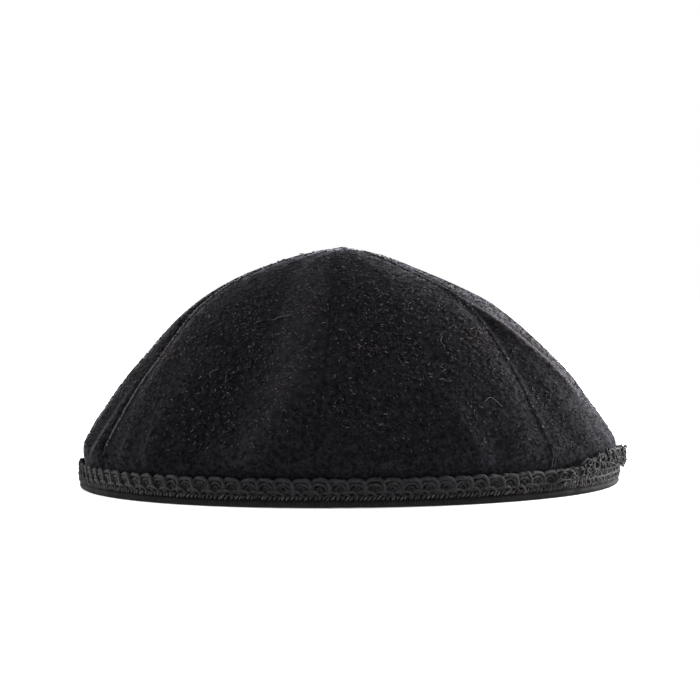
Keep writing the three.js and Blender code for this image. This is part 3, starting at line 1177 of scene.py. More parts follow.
                spots = across[here] + rng.normal(0.0, self.crease_scatter, count) / width[here]
                colour = tone if fold.worn > self.edge_radius else tone - self.faint_step
                facing.append(self.lay_line(bundle, rng, spots, arc[here], thick, colour))
        return np.concatenate(facing)

    def lay_line(
        self,
        bundle: Bundle,
        rng: np.random.Generator,
        across: np.ndarray,
        arc: np.ndarray,
        thick: np.ndarray,
        tone: int,
    ) -> np.ndarray:
        """Lay one uneven line of crushed pile with painted highlight.

        Args:
            bundle: Where the line goes.
            rng: The source of chance.
            across: Shares of the gore's width along the line.
            arc: Lengths of cloth along it.
            thick: Its radius along it.
            tone: Which material it takes.

        Returns:
            The outward direction at each of its vertices.
        """
        path = self.face(across, arc, self.edge_lift + rng.normal(0.0, self.edge_waver, len(arc)))
        outward = away_from(path, self.middle, self.below)
        radius = np.maximum(thick * rng.uniform(*self.edge_radii, len(arc)), self.least_edge)
        bundle.cord(path, radius, LINE_SIDES, outward, tone)
        return np.repeat(outward, LINE_SIDES, axis=0)


@dataclass(frozen=True)
class Hair:
    """A long hair on the velvet: its start, the way it sets off, its length, and its turns in radians."""

    azimuth: float
    height: float
    heading: float
    length: float
    turn: float
    curl: float


@dataclass(frozen=True)
class LintKind:
    """One kind of lint: how many lie on a gore, their steps and sizes, and the chance of each tone."""

    count: int
    steps: int
    lengths: Range
    radii: Range
    curl: float
    chances: tuple[float, ...]


@dataclass
class Lint:
    """Specks, curls and hairs of lint that cling to the velvet."""

    crown: Crown
    middle: np.ndarray
    kinds: tuple[LintKind, ...] = (
        LintKind(1900, 2, (0.4, 1.5), (0.12, 0.22), 1.3, (0.55, 0.37, 0.08)),
        LintKind(9, 20, (4.0, 9.0), (0.08, 0.12), 0.5, (0.6, 0.35, 0.05)),
    )
    clusters_per_gore: int = 26
    cluster_size: float = 5.0
    clustered: float = 0.5
    lowest: float = 13.0
    foot_room: float = 2.0
    peak_room: float = 1.0
    hair_peak_room: float = 0.5
    seam_room: float = 0.02
    seam_clear: float = 0.5
    overhang: float = 20.0
    tries_per_speck: int = 9
    sparse: float = 0.12
    crowd_heights: Range = (14.0, 56.0)
    least_radius: float = 1.5
    least_cluster_radius: float = 3.0
    arch: float = 0.12
    tip_turn: float = 0.4
    taper: float = 0.6
    long_hair_steps: int = 26
    long_hair_radius: float = 0.1
    below: float = -20.0
    seed: int = 5
    hairs: tuple[Hair, ...] = (
        Hair(-17.0, 69.5, 0.3, 13.0, 2.6, 2.4),
        Hair(14.0, 76.0, -0.7, 6.0, 2.2, 0.6),
        Hair(31.5, 29.8, -0.1, 8.5, -0.5, 0.8),
        Hair(-24.0, 55.0, -0.9, 8.0, 1.9, 0.8),
        Hair(18.0, 62.5, 1.2, 5.0, 0.9, 0.5),
        Hair(-36.0, 38.0, 1.9, 6.0, -1.2, 0.7),
        Hair(28.0, 46.0, 0.5, 6.0, 1.4, 0.8),
    )

    def laid(self, number: int, azimuth: np.ndarray, arc: np.ndarray, lift: np.ndarray) -> np.ndarray:
        """Points that lie on a gore's velvet, at azimuths and lengths of cloth, raised by lift."""
        height, _, _, _, _ = self.crown.level(arc)
        start, width = self.crown.span(number, height)
        turn = np.mod(azimuth - start + self.overhang, FULL_TURN) - self.overhang
        across = np.clip(turn, self.seam_clear, width - self.seam_clear) / width
        return self.crown.place(number, across, arc, lift) + self.middle

    def walk(
        self, azimuth: np.ndarray, arc: np.ndarray, angle: np.ndarray, turning: np.ndarray, step: np.ndarray
    ) -> tuple[np.ndarray, np.ndarray]:
        """Follow curling paths over the cloth.

        Args:
            azimuth: Where each path starts.
            arc: The length of cloth at which it starts.
            angle: The way that it sets off, in radians.
            turning: How far it turns at each step, one row for each path.
            step: The length of its steps in millimetres.

        Returns:
            Azimuths and lengths of cloth along the paths, one row for each.
        """
        way = angle[:, None] + np.cumsum(turning, axis=1)
        east = np.cumsum(np.cos(way), axis=1) * step[:, None]
        north = np.cumsum(np.sin(way), axis=1) * step[:, None]
        arcs = np.clip(arc[:, None] + north, self.lowest, self.crown.length - self.hair_peak_room)
        _, radius, _, _, _ = self.crown.level(arcs)
        return azimuth[:, None] + np.degrees(east / np.maximum(radius, self.least_radius)), arcs

    def anywhere(self, rng: np.random.Generator, number: int, wanted: int) -> tuple[np.ndarray, np.ndarray]:
        """Choose places on a gore, denser higher up, as azimuths and lengths of cloth."""
        low, high = self.lowest + self.foot_room, self.crown.length - self.peak_room
        spots = rng.uniform(low, high, wanted * self.tries_per_speck)
        height, radius, _, _, _ = self.crown.level(spots)
        crowd = self.sparse + (1.0 - self.sparse) * smoothstep(height, *self.crowd_heights)
        kept = rng.uniform(0.0, 1.0, len(spots)) < radius / radius.max() * crowd
        spots, height = spots[kept][:wanted], height[kept][:wanted]
        start, width = self.crown.span(number, height)
        return start + width * rng.uniform(self.seam_room, 1.0 - self.seam_room, len(spots)), spots

    def scatter(self, rng: np.random.Generator, number: int, count: int) -> tuple[np.ndarray, np.ndarray]:
        """Choose where lint lies on a gore, partly in loose clusters, as azimuths and lengths of cloth."""
        azimuth, arc = self.anywhere(rng, number, count)
        heart_azimuth, heart_arc = self.anywhere(rng, number, self.clusters_per_gore)
        gathered = np.nonzero(rng.uniform(0.0, 1.0, count) < self.clustered)[0]
        owner = rng.integers(0, len(heart_arc), len(gathered))
        near = rng.normal(0.0, self.cluster_size, (2, len(gathered)))
        low, high = self.lowest + self.foot_room, self.crown.length - self.peak_room
        arc[gathered] = np.clip(heart_arc[owner] + near[0], low, high)
        _, radius, _, _, _ = self.crown.level(arc[gathered])
        turn = np.degrees(near[1] / np.maximum(radius, self.least_cluster_radius))
        azimuth[gathered] = heart_azimuth[owner] + turn
        return azimuth, arc

    def lay_cords(
        self,
        bundle: Bundle,
        number: int,
        ways: tuple[np.ndarray, np.ndarray],
        thick: np.ndarray,
        tone: np.ndarray,
    ) -> None:
        """Lay thin tapered cords along paths on one gore, with a thickness and a tone for each."""
        azimuths, arcs = ways
        points = azimuths.shape[1]
        shape = np.sin(np.linspace(self.tip_turn, math.pi - self.tip_turn, points)) ** self.taper
        wave = self.arch * np.sin(np.linspace(0.0, 3.0 * math.pi, points))
        paths = self.laid(number, azimuths, arcs, wave[None, :])
        for path, radius, colour in zip(paths, thick, tone):
            bundle.cord(path, radius * shape, 3, away_from(path, self.middle, self.below), int(colour))

    def build(self, tones: list[bpy.types.Material]) -> bpy.types.Object:
        """Make all the lint as one piece.

        Args:
            tones: Materials from the darkest to the palest.

        Returns:
            The lint.
        """
        rng = np.random.default_rng(self.seed)
        bundle = Bundle()
        for number in range(len(self.crown.seams)):
            for kind in self.kinds:
                azimuth, arc = self.scatter(rng, number, kind.count)
                step = rng.uniform(*kind.lengths, kind.count) / kind.steps
                whole = rng.normal(0.0, kind.curl, (kind.count, 1))
                bend = whole + rng.normal(0.0, kind.curl * 0.5, (kind.count, kind.steps + 1))
                angle = rng.uniform(0.0, CIRCLE, kind.count)
                ways = self.walk(azimuth, arc, angle, bend * step[:, None], step)
                tone = rng.choice(len(tones), kind.count, p=kind.chances)
                self.lay_cords(bundle, number, ways, rng.uniform(*kind.radii, kind.count), tone)
        steps = self.long_hair_steps
        share = np.linspace(0.0, 1.0, steps + 1)
        for hair in self.hairs:
            turning = hair.turn / steps + hair.curl * np.cos(share * CIRCLE) * CIRCLE / steps
            arc = np.interp(hair.height, self.crown.table[:, 0], self.crown.arc)
            ways = self.walk(
                np.array([hair.azimuth]),
                np.array([arc]),
                np.array([hair.heading]),
                turning[None, :],
                np.array([hair.length / steps]),
            )
            past_first_seam = hair.azimuth > self.crown.seam_azimuth(0, hair.height)
            number = 0 if past_first_seam else len(self.crown.seams) - 1
            palest = np.array([len(tones) - 1])
            self.lay_cords(bundle, number, ways, np.array([self.long_hair_radius]), palest)
        return bundle.piece("velvet_lint", tones)


@dataclass
class SeamAllowances:
    """The turned edges inside the cap, pressed open over each seam."""

    crown: Crown
    middle: np.ndarray
    half_width: float = 5.0
    widest_share: float = 0.4
    thickness: float = 0.5
    inside: float = -2.05
    seam_lift: float = 0.3
    ends: Range = (2.0, 3.0)
    rings: int = 70
    lay_side: float = 0.25

    def build(self, reverse: bpy.types.Material) -> bpy.types.Object:
        """Make the allowances of all the seams as one piece.

        Args:
            reverse: The velvet's wrong side.

        Returns:
            The allowances.
        """
        bundle = Bundle()
        low_end, high_end = self.ends
        arc = np.linspace(low_end, self.crown.length - high_end, self.rings)
        height, radius, _, _, _ = self.crown.level(arc)
        reach = np.minimum(self.half_width, radius * self.widest_share)
        zero = np.zeros_like(arc)
        around = [0, 1, 2, 3, 4, 9, 8, 7, 6, 5]
        sides = len(around)
        step, spot, here, beside = tube_quads(len(arc), sides)
        quads = np.stack([here, beside, beside + sides, here + sides], axis=1)
        low, high = arc[step] / MM_PER_CM, arc[step + 1] / MM_PER_CM
        left, right = spot * self.lay_side, (spot + 1) * self.lay_side
        corners = ((left, low), (right, low), (right, high), (left, high))
        lay = np.stack([np.stack(pair, axis=1) for pair in corners], axis=1)
        first = np.arange(sides)[::-1]
        last = np.arange(sides) + (len(arc) - 1) * sides
        caps = np.stack([first, last]) - len(arc) * sides
        for number in range(len(self.crown.seams)):
            before = (number - 1) % len(self.crown.seams)
            own = reach / np.maximum(self.crown.breadth(number, height, radius), LEAST_WIDTH)
            other = reach / np.maximum(self.crown.breadth(before, height, radius), LEAST_WIDTH)
            rows = []
            for depth in (self.inside, self.inside - self.thickness):
                rows.append(self.crown.place(before, 1.0 - other, arc, depth))
                rows.append(self.crown.place(before, 1.0 - other * 0.5, arc, depth))
                rows.append(self.crown.place(number, zero, arc, depth + self.seam_lift))
                rows.append(self.crown.place(number, own * 0.5, arc, depth))
                rows.append(self.crown.place(number, own, arc, depth))
            points = np.stack(rows, axis=1) + self.middle
            bundle.add(points[:, around], quads, np.zeros(len(quads), int), lay)
            bundle.add(np.empty(0), caps, np.zeros(len(caps), int), np.zeros((len(caps), sides, 2)))
        piece = bundle.piece("seam_allowances", [reverse])
        face_outward(piece)
        return piece


# Trim


@dataclass
class Binding:
    """The ribbed ribbon folded round the rim, over a rolled foot, a rib at a time.

    foot_out is how far the foot stands outside the wall that the braid is sewn to, folded is how thick the
    folded ribbon is, and inner_points is how many of its outline's last points lie inside the fold.
    """

    middle: np.ndarray
    outside: float
    tall: float
    folded: float = 4.9
    foot_out: float = 1.2
    foot_top: float = 2.4
    wall: float = 0.9
    corner: float = 0.7
    ribs: int = 720
    rib_depth: float = 0.28
    rib_sway: float = 0.5
    sways_round: float = 31.0
    wear: float = 0.25
    wear_round: Range = (57.0, 23.0)
    columns_per_rib: int = 3
    inner_points: int = 5
    lay_width: float = 30.0

    @property
    def inside(self) -> float:
        """The radius of the ribbon's face inside the cap."""
        return self.outside - self.folded

    def outline(self) -> np.ndarray:
        """The ribbon's folded section as a closed loop of radius, height, and share of the ribs' depth."""
        foot = self.outside + self.foot_out
        half = self.foot_top / 2.0
        roll = [
            (foot - self.foot_out * (1.0 - math.cos(turn)), half + half * math.sin(turn), 1.0)
            for turn in np.radians((75.0, 50.0, 25.0, 0.0, -25.0, -50.0))
        ]
        loop = [
            (self.outside, self.tall, 0.2),
            (self.outside, self.foot_top + 0.6, 0.6),
            *roll,
            (self.outside + 0.2, 0.0, 1.0),
            (self.outside - 1.6, 0.0, 0.6),
            (self.inside + 1.6, 0.0, 0.6),
            (self.inside + self.corner, 0.0, 1.0),
            (self.inside + 0.2, 0.2, 1.0),
            (self.inside, self.corner, 1.0),
            (self.inside, self.tall * 0.6, 1.0),
            (self.inside, self.tall, 0.2),
            (self.inside + self.wall, self.tall, 0.0),
            (self.inside + self.wall, self.wall, 0.0),
            (self.outside - self.wall, self.wall, 0.0),
            (self.outside - self.wall, self.tall, 0.0),
            (self.outside, self.tall, 0.2),
        ]
        return np.array(loop)

    def sunk(self, azimuth: np.ndarray) -> np.ndarray:
        """How far between two ribs an azimuth lies, 0 on a rib and 1 at the bottom between two."""
        angle = np.radians(azimuth)
        return 0.5 - 0.5 * np.cos(self.ribs * angle + self.rib_sway * np.sin(angle * self.sways_round))

    def surface(self, round_it: np.ndarray, along: np.ndarray) -> np.ndarray:
        """Points for shares round the rim and along the section."""
        loop = self.outline()
        spots = np.linspace(0.0, 1.0, len(loop))
        ring = loop[:-1, :2]
        steps = np.roll(ring, -1, axis=0) - np.roll(ring, 1, axis=0)
        facing = unit(np.stack([-steps[:, 1], steps[:, 0]], axis=1))
        facing = np.concatenate([facing, facing[:1]])
        radius, height, ribbed = (np.interp(along, spots, loop[:, part]) for part in range(3))
        out, up = (np.interp(along, spots, facing[:, part]) for part in range(2))
        azimuth = FULL_TURN * round_it
        angle = np.radians(azimuth)
        first, second = self.wear_round
        worn = 1.0 + self.wear * np.sin(angle * first) * np.sin(angle * second)
        depth = self.rib_depth * worn * ribbed * self.sunk(azimuth)
        east, north = heading(azimuth)
        level = radius - depth * out
        raised = np.maximum(height - depth * up, 0.0)
        return np.stack([level * east, level * north, raised], axis=-1) + self.middle

    def flat_size(self) -> tuple[float, float]:
        """The flat ribbon's length and width in metres."""
        ribbon = self.outline()[: -self.inner_points]
        wide = float(np.sum(np.hypot(*np.diff(ribbon[:, :2], axis=0).T)))
        return CIRCLE * self.outside * MM, wide * MM

    def flat_cloth(self, round_it: np.ndarray, along: np.ndarray) -> np.ndarray:
        """The ribbon's own coordinates, in millimetres."""
        return np.stack([round_it * CIRCLE * self.outside, along * self.lay_width], axis=-1)

    def build(self, ribbon: bpy.types.Material) -> bpy.types.Object:
        """Make the binding.

        Args:
            ribbon: Its material.

        Returns:
            The binding.
        """
        rows = len(self.outline()) - 1
        columns = self.ribs * self.columns_per_rib
        piece = wrapped_grid("ribbed_binding", columns, rows, self.surface, self.flat_cloth)
        face_outward(piece)
        mesh = piece.data
        east, north, _ = (vertex_places(mesh) / MM - self.middle).T
        give_attribute(mesh, "sunk", self.sunk(np.degrees(np.arctan2(east, -north))))
        mesh.materials.append(ribbon)
        return piece


@dataclass(frozen=True)
class Strand:
    """One cord of the braid, which waves once for each scallop.

    offset is in scallops. foot and top are the heights of the cord's middle at its lowest and highest.
    swing is how far it swings back on itself, and flat is 1 for a round arch and more for a flat one.
    low_out and high_out are its distance out at foot and top, and cross is how far it crosses over itself.
    """

    offset: float
    foot: float
    top: float
    swing: float
    flat: float
    low_out: float
    high_out: float
    cross: float
    radius: float
    steps: int
    tone: int


@dataclass
class Braid:
    """The scalloped gimp sewn round the rim, which laps over its own start at the cap's right."""

    middle: np.ndarray
    inside: float
    scallops_per_turn: int = 104
    lap_scallops: int = 14
    ramp_scallops: float = 4.0
    start: float = 93.0
    lap_step: float = 1.5
    lap_lift: float = 2.4
    lap_flare: float = 0.8
    lap_hump: float = 1.8
    upper: tuple[Strand, ...] = (
        Strand(0.0, 4.4, 8.25, 1.35, 1.7, 0.35, 0.5, 0.3, 0.62, 20, 0),
        Strand(0.0, 4.1, 7.2, 0.65, 1.4, 0.15, 0.5, 0.12, 0.52, 16, 0),
        Strand(0.0, 4.1, 6.4, -0.2, 1.0, 0.1, 0.35, 0.1, 0.46, 12, 1),
        Strand(0.0, 4.2, 5.3, -0.5, 1.0, 0.0, 0.1, 0.0, 0.5, 8, 1),
    )
    lower: tuple[Strand, ...] = (
        Strand(0.5, 3.0, 5.0, 1.2, 1.5, 0.5, 0.85, 0.2, 0.4, 16, 0),
        Strand(0.25, 3.3, 4.6, 0.4, 1.0, 0.45, 0.75, 0.1, 0.3, 12, 1),
        Strand(0.75, 3.3, 4.6, 0.4, 1.0, 0.45, 0.75, 0.1, 0.3, 12, 1),
    )
    climb_stop: float = 0.5
    hump_rise: Range = (12.0, 8.0)
    hump_fall: Range = (5.5, 0.5)
    tip_run: Range = (6.5, -0.4)
    tip_droop: float = 1.6
    tip_height: float = 5.5
    tip_squeeze: float = 0.15
    paces: tuple[float, ...] = (0.31, 0.73, 1.37, 2.11)
    pace_spread: Range = (0.85, 1.15)
    phases: Range = (0.0, 6.28)
    looseness: float = 0.16
    fray: float = 0.42
    wander_out: float = 0.6
    loose_out: float = 0.5
    loose_pace: float = 0.37
    fluff: float = 0.13
    cord_radii: Range = (0.4, 1.4)
    cord_sides: int = 6
    lap_thinning: float = 0.4
    thinning_stop: float = 4.0
    seed: int = 23

    @property
    def pitch(self) -> float:
        """A scallop's length in degrees."""
        return FULL_TURN / self.scallops_per_turn

    @property
    def scallop_length(self) -> float:
        """A scallop's length in millimetres."""
        return math.radians(self.pitch) * self.inside

    @property
    def scallops(self) -> int:
        """How many scallops the braid has, with its lap."""
        return self.scallops_per_turn + self.lap_scallops

    def bend(self, scallop: np.ndarray, height: np.ndarray, out: np.ndarray) -> np.ndarray:
        """Wrap flat places of the braid round the rim.

        Args:
            scallop: How many scallops along.
            height: Height above the rim's foot.
            out: Distance out from the strip's inner face.

        Returns:
            The points in millimetres.
        """
        turn, end = float(self.scallops_per_turn), float(self.scallops)
        climb = smoothstep(scallop, turn - self.ramp_scallops, turn - self.climb_stop)
        flare = smoothstep(scallop, end - self.ramp_scallops, end)
        radius = self.inside + out + climb * self.lap_step + flare * self.lap_flare
        east, north = heading(self.start - self.pitch * scallop)
        risen, fallen, tip = (
            smoothstep(scallop, end - first, end - last)
            for first, last in (self.hump_rise, self.hump_fall, self.tip_run)
        )
        lift = climb * self.lap_lift + (risen - fallen) * self.lap_hump - tip * self.tip_droop
        squeezed = height + (self.tip_height - height) * self.tip_squeeze * tip
        return np.stack([radius * east, radius * north, squeezed + lift], axis=-1) + self.middle

    def strand_path(self, strand: Strand, rng: np.random.Generator) -> np.ndarray:
        """A strand's points all the way along."""
        phase = np.linspace(0.0, CIRCLE * self.scallops, self.scallops * strand.steps + 1)
        loose = smoothstep(phase / CIRCLE, self.scallops_per_turn - 1.0, float(self.scallops))
        wander = self.wander(rng, phase, self.looseness + self.fray * loose)
        rise = 1.0 - ((1.0 + np.cos(phase)) / 2.0) ** strand.flat
        scallop = phase / CIRCLE + strand.offset - strand.swing * np.sin(phase) / self.scallop_length
        height = strand.foot + (strand.top - strand.foot) * rise + wander[1]
        out = strand.low_out + (strand.high_out - strand.low_out) * rise + strand.cross * np.sin(phase)
        swaying = 0.5 + 0.5 * np.sin(phase * self.loose_pace)
        out = out + np.abs(wander[2]) * self.wander_out + self.loose_out * loose * swaying
        return self.bend(scallop + wander[0] / self.scallop_length, height, out)

    def wander(self, rng: np.random.Generator, phase: np.ndarray, reach: np.ndarray) -> np.ndarray:
        """Three slow random waves of a given reach along a strand."""
        found = np.zeros((3, len(phase)))
        for part in range(3):
            for pace in self.paces:
                quick = rng.uniform(*self.pace_spread)
                found[part] += np.sin(phase * pace * quick + rng.uniform(*self.phases)) / 2.0
        return found * reach

    def build_strands(
        self, name: str, strands: tuple[Strand, ...], cords: list[bpy.types.Material], seed: int
    ) -> bpy.types.Object:
        """Make a row of the braid's cords.

        Args:
            name: The new piece's name.
            strands: The cords.
            cords: Materials by tone.
            seed: Fixes the chance in it.

        Returns:
            The piece.
        """
        rng = np.random.default_rng(self.seed + seed)
        bundle = Bundle()
        for strand in strands:
            path = self.strand_path(strand, rng)
            along = np.linspace(0.0, float(self.scallops), len(path))
            lapped = smoothstep(along, self.scallops_per_turn - 1.0, along[-1] - self.thinning_stop)
            thinned = 1.0 - self.lap_thinning * lapped
            radius = strand.radius * thinned * (1.0 + self.fluff * rng.normal(0.0, 1.0, len(path)))
            least, most = self.cord_radii
            radius = np.clip(radius, strand.radius * least, strand.radius * most)
            bundle.cord(path, radius, self.cord_sides, level_away(path, self.middle), strand.tone)
        return bundle.piece(name, cords)


@dataclass
class BraidStitches:
    """The slanted stitches that hold the braid's foot."""

    braid: Braid
    per_scallop: int = 4
    scatter: float = 0.14
    long: float = 0.62
    longs: Range = (0.75, 1.2)
    slant: float = 0.09
    slants: Range = (0.6, 1.4)
    foot: float = 3.05
    foot_scatter: float = 0.1
    out: float = 1.0
    sink: float = 0.3
    radius: float = 0.27
    radii: Range = (0.8, 1.15)
    least_end: float = 0.12
    points: int = 6
    sides: int = 5
    seed: int = 7

    def build(self, cords: list[bpy.types.Material]) -> bpy.types.Object:
        """Make the stitches.

        Args:
            cords: Materials by tone.

        Returns:
            The stitches.
        """
        rng = np.random.default_rng(self.braid.seed + self.seed)
        bundle = Bundle()
        share = np.linspace(-1.0, 1.0, self.points)
        taper = np.sqrt(np.maximum(1.0 - share**2, self.least_end))
        for stitch in range(self.braid.scallops * self.per_scallop):
            at = (stitch + rng.normal(0.0, self.scatter)) / self.per_scallop
            long = self.long * rng.uniform(*self.longs)
            slant = self.slant * rng.uniform(*self.slants)
            low = self.foot + rng.normal(0.0, self.foot_scatter)
            path = self.braid.bend(at - share * slant, low + share * long, self.out - self.sink * share**2)
            radius = self.radius * rng.uniform(*self.radii) * taper
            tone = int(rng.integers(len(cords)))
            bundle.cord(path, radius, self.sides, level_away(path, self.braid.middle), tone)
        return bundle.piece("braid_stitches", cords)


@dataclass
class LooseEnd:
    """The crumpled loops and the few threads at the braid's loose end."""

    braid: Braid
    loops: int = 90
    loop_from: float = 0.8
    loop_beyond: float = 0.1
    loop_middles: Range = (4.0, 8.6)
    loop_heights: Range = (2.9, 9.4)
    loop_outs: Range = (0.3, 2.1)
    loop_wide: Range = (0.6, 1.5)
    loop_tall: Range = (0.5, 1.1)
    loop_tilt: Range = (-0.9, 0.9)
    loop_turns: Range = (3.8, 6.2)
    loop_out: float = 1.0
    loop_sway: float = 0.55
    loop_stray: Range = (-0.1, 0.5)
    loop_radius: Range = (0.22, 0.40)
    loop_end: float = 0.45
    loop_taper: float = 4.0
    loop_radii: Range = (0.6, 1.4)
    loop_points: int = 22
    threads: int = 7
    thread_points: int = 24
    thread_before: float = -0.5
    thread_wind: float = 1.4
    thread_run: float = 2.2
    thread_winds: tuple[float, float, float] = (3.0, 4.0, 5.0)
    thread_feet: Range = (3.0, 8.0)
    thread_climb: float = 2.0
    thread_heights: Range = (1.5, 10.2)
    thread_out: float = 1.2
    thread_rise: Range = (0.4, 1.3)
    thread_sway: float = 0.3
    thread_outs: Range = (0.5, 2.6)
    thread_radius: float = 0.09
    thread_taper: float = 0.6
    above: float = 30.0
    seed: int = 40

    def lay(
        self,
        bundle: Bundle,
        rng: np.random.Generator,
        path: np.ndarray,
        radius: np.ndarray,
        sides: int,
        tones: int,
    ) -> None:
        """Lay one cord of a random tone."""
        outward = away_from(path, self.braid.middle, self.above)
        bundle.cord(path, radius, sides, outward, int(rng.integers(tones)))

    def lay_loop(self, bundle: Bundle, rng: np.random.Generator, tones: int) -> None:
        """Lay one crumpled loop, tilted at random."""
        braid = self.braid
        at = braid.scallops_per_turn + rng.uniform(self.loop_from, braid.lap_scallops + self.loop_beyond)
        height = rng.uniform(*self.loop_middles)
        wide, tall = rng.uniform(*self.loop_wide), rng.uniform(*self.loop_tall)
        tilt = rng.uniform(*self.loop_tilt)
        turns = np.linspace(0.0, rng.uniform(*self.loop_turns), self.loop_points) + rng.uniform(*braid.phases)
        side, up = wide * np.cos(turns), tall * np.sin(turns)
        along = at + (side * math.cos(tilt) - up * math.sin(tilt)) / braid.scallop_length
        heights = height + side * math.sin(tilt) + up * math.cos(tilt)
        sway = self.loop_sway * np.sin(turns + rng.uniform(*braid.phases))
        out = self.loop_out + sway + rng.uniform(*self.loop_stray)
        path = braid.bend(along, np.clip(heights, *self.loop_heights), np.clip(out, *self.loop_outs))
        count = np.arange(self.loop_points)
        ends = np.minimum(count, count[::-1])
        radius = rng.uniform(*self.loop_radius) * np.clip(self.loop_end + ends / self.loop_taper, 0.0, 1.0)
        fluffed = 1.0 + braid.fluff * rng.normal(0.0, 1.0, self.loop_points)
        self.lay(bundle, rng, path, radius * np.clip(fluffed, *self.loop_radii), braid.cord_sides, tones)

    def lay_thread(self, bundle: Bundle, rng: np.random.Generator, tones: int) -> None:
        """Lay one thin thread that stands off the end."""
        braid = self.braid
        share = np.linspace(0.0, 1.0, self.thread_points)
        at = braid.scallops_per_turn + rng.uniform(self.thread_before, braid.lap_scallops)
        bend = rng.normal(0.0, self.thread_wind, 3)
        first, second, third = self.thread_winds
        run = rng.normal(0.0, self.thread_run) * share + bend[0] * np.sin(share * first)
        foot = rng.uniform(*self.thread_feet)
        heights = foot + rng.normal(0.0, self.thread_climb) * share + bend[1] * np.sin(share * second)
        rise = share * rng.uniform(*self.thread_rise)
        out = self.thread_out + rise + self.thread_sway * np.sin(share * third + bend[2])
        heights, out = np.clip(heights, *self.thread_heights), np.clip(out, *self.thread_outs)
        path = braid.bend(at + run / braid.scallop_length, heights, out)
        radius = self.thread_radius * (1.0 - self.thread_taper * share)
        self.lay(bundle, rng, path, radius, LINE_SIDES, tones)

    def build(self, cords: list[bpy.types.Material]) -> bpy.types.Object:
        """Make the tangle.

        Args:
            cords: Materials by tone.

        Returns:
            The tangle.
        """
        rng = np.random.default_rng(self.braid.seed + self.seed)
        bundle = Bundle()
        for _ in range(self.loops):
            self.lay_loop(bundle, rng, len(cords))
        for _ in range(self.threads):
            self.lay_thread(bundle, rng, len(cords))
        return bundle.piece("braid_loose_end", cords)


@dataclass
class Fluff:
    """The short fibres that stand off the braid's cords and stitches."""

    braid: Braid
    count: int = 9500
    lap_every: int = 4
    foot: float = 2.6
    between: float = 4.6
    arch: float = 1.7
    outs: Range = (0.3, 1.0)
    lean: float = 1.1
    lengths: Range = (0.3, 0.8)
    half: float = 0.07
    seed: int = 80

    def build(self, tones: list[bpy.types.Material]) -> bpy.types.Object:
        """Make the fibres.

        Args:
            tones: Materials by tone.

        Returns:
            The fibres.
        """
        braid = self.braid
        rng = np.random.default_rng(braid.seed + self.seed)
        scallop = rng.uniform(0.0, braid.scallops, self.count)
        at_lap = np.arange(self.count) % self.lap_every == 0
        lapped = rng.uniform(0.0, braid.lap_scallops, np.count_nonzero(at_lap))
        scallop[at_lap] = braid.scallops_per_turn + lapped
        tall = self.between + self.arch * np.abs(np.sin(math.pi * scallop))
        height = self.foot + rng.uniform(0.0, 1.0, self.count) * tall
        out = rng.uniform(*self.outs, self.count)
        root = braid.bend(scallop, height, out)
        beyond = braid.bend(scallop, height, out + 1.0) - root
        side = unit(np.cross(beyond, np.array([0.0, 0.0, 1.0])))
        up = np.cross(beyond, side)
        lean = rng.normal(0.0, self.lean, (2, self.count, 1))
        aim = unit(beyond + side * lean[0] + up * lean[1])
        tip = root + aim * rng.uniform(*self.lengths, (self.count, 1))
        turn = rng.uniform(0.0, CIRCLE, (self.count, 1))
        bundle = Bundle()
        bundle.spikes(root, tip, (side, up), turn, self.half, rng.integers(0, len(tones), self.count))
        return bundle.piece("braid_fluff", tones)


# The picture


@dataclass(frozen=True)
class Lamp:
    """A square soft light that faces the cap, with its place and size in metres."""

    name: str
    place: tuple[float, float, float]
    size: float
    energy: float


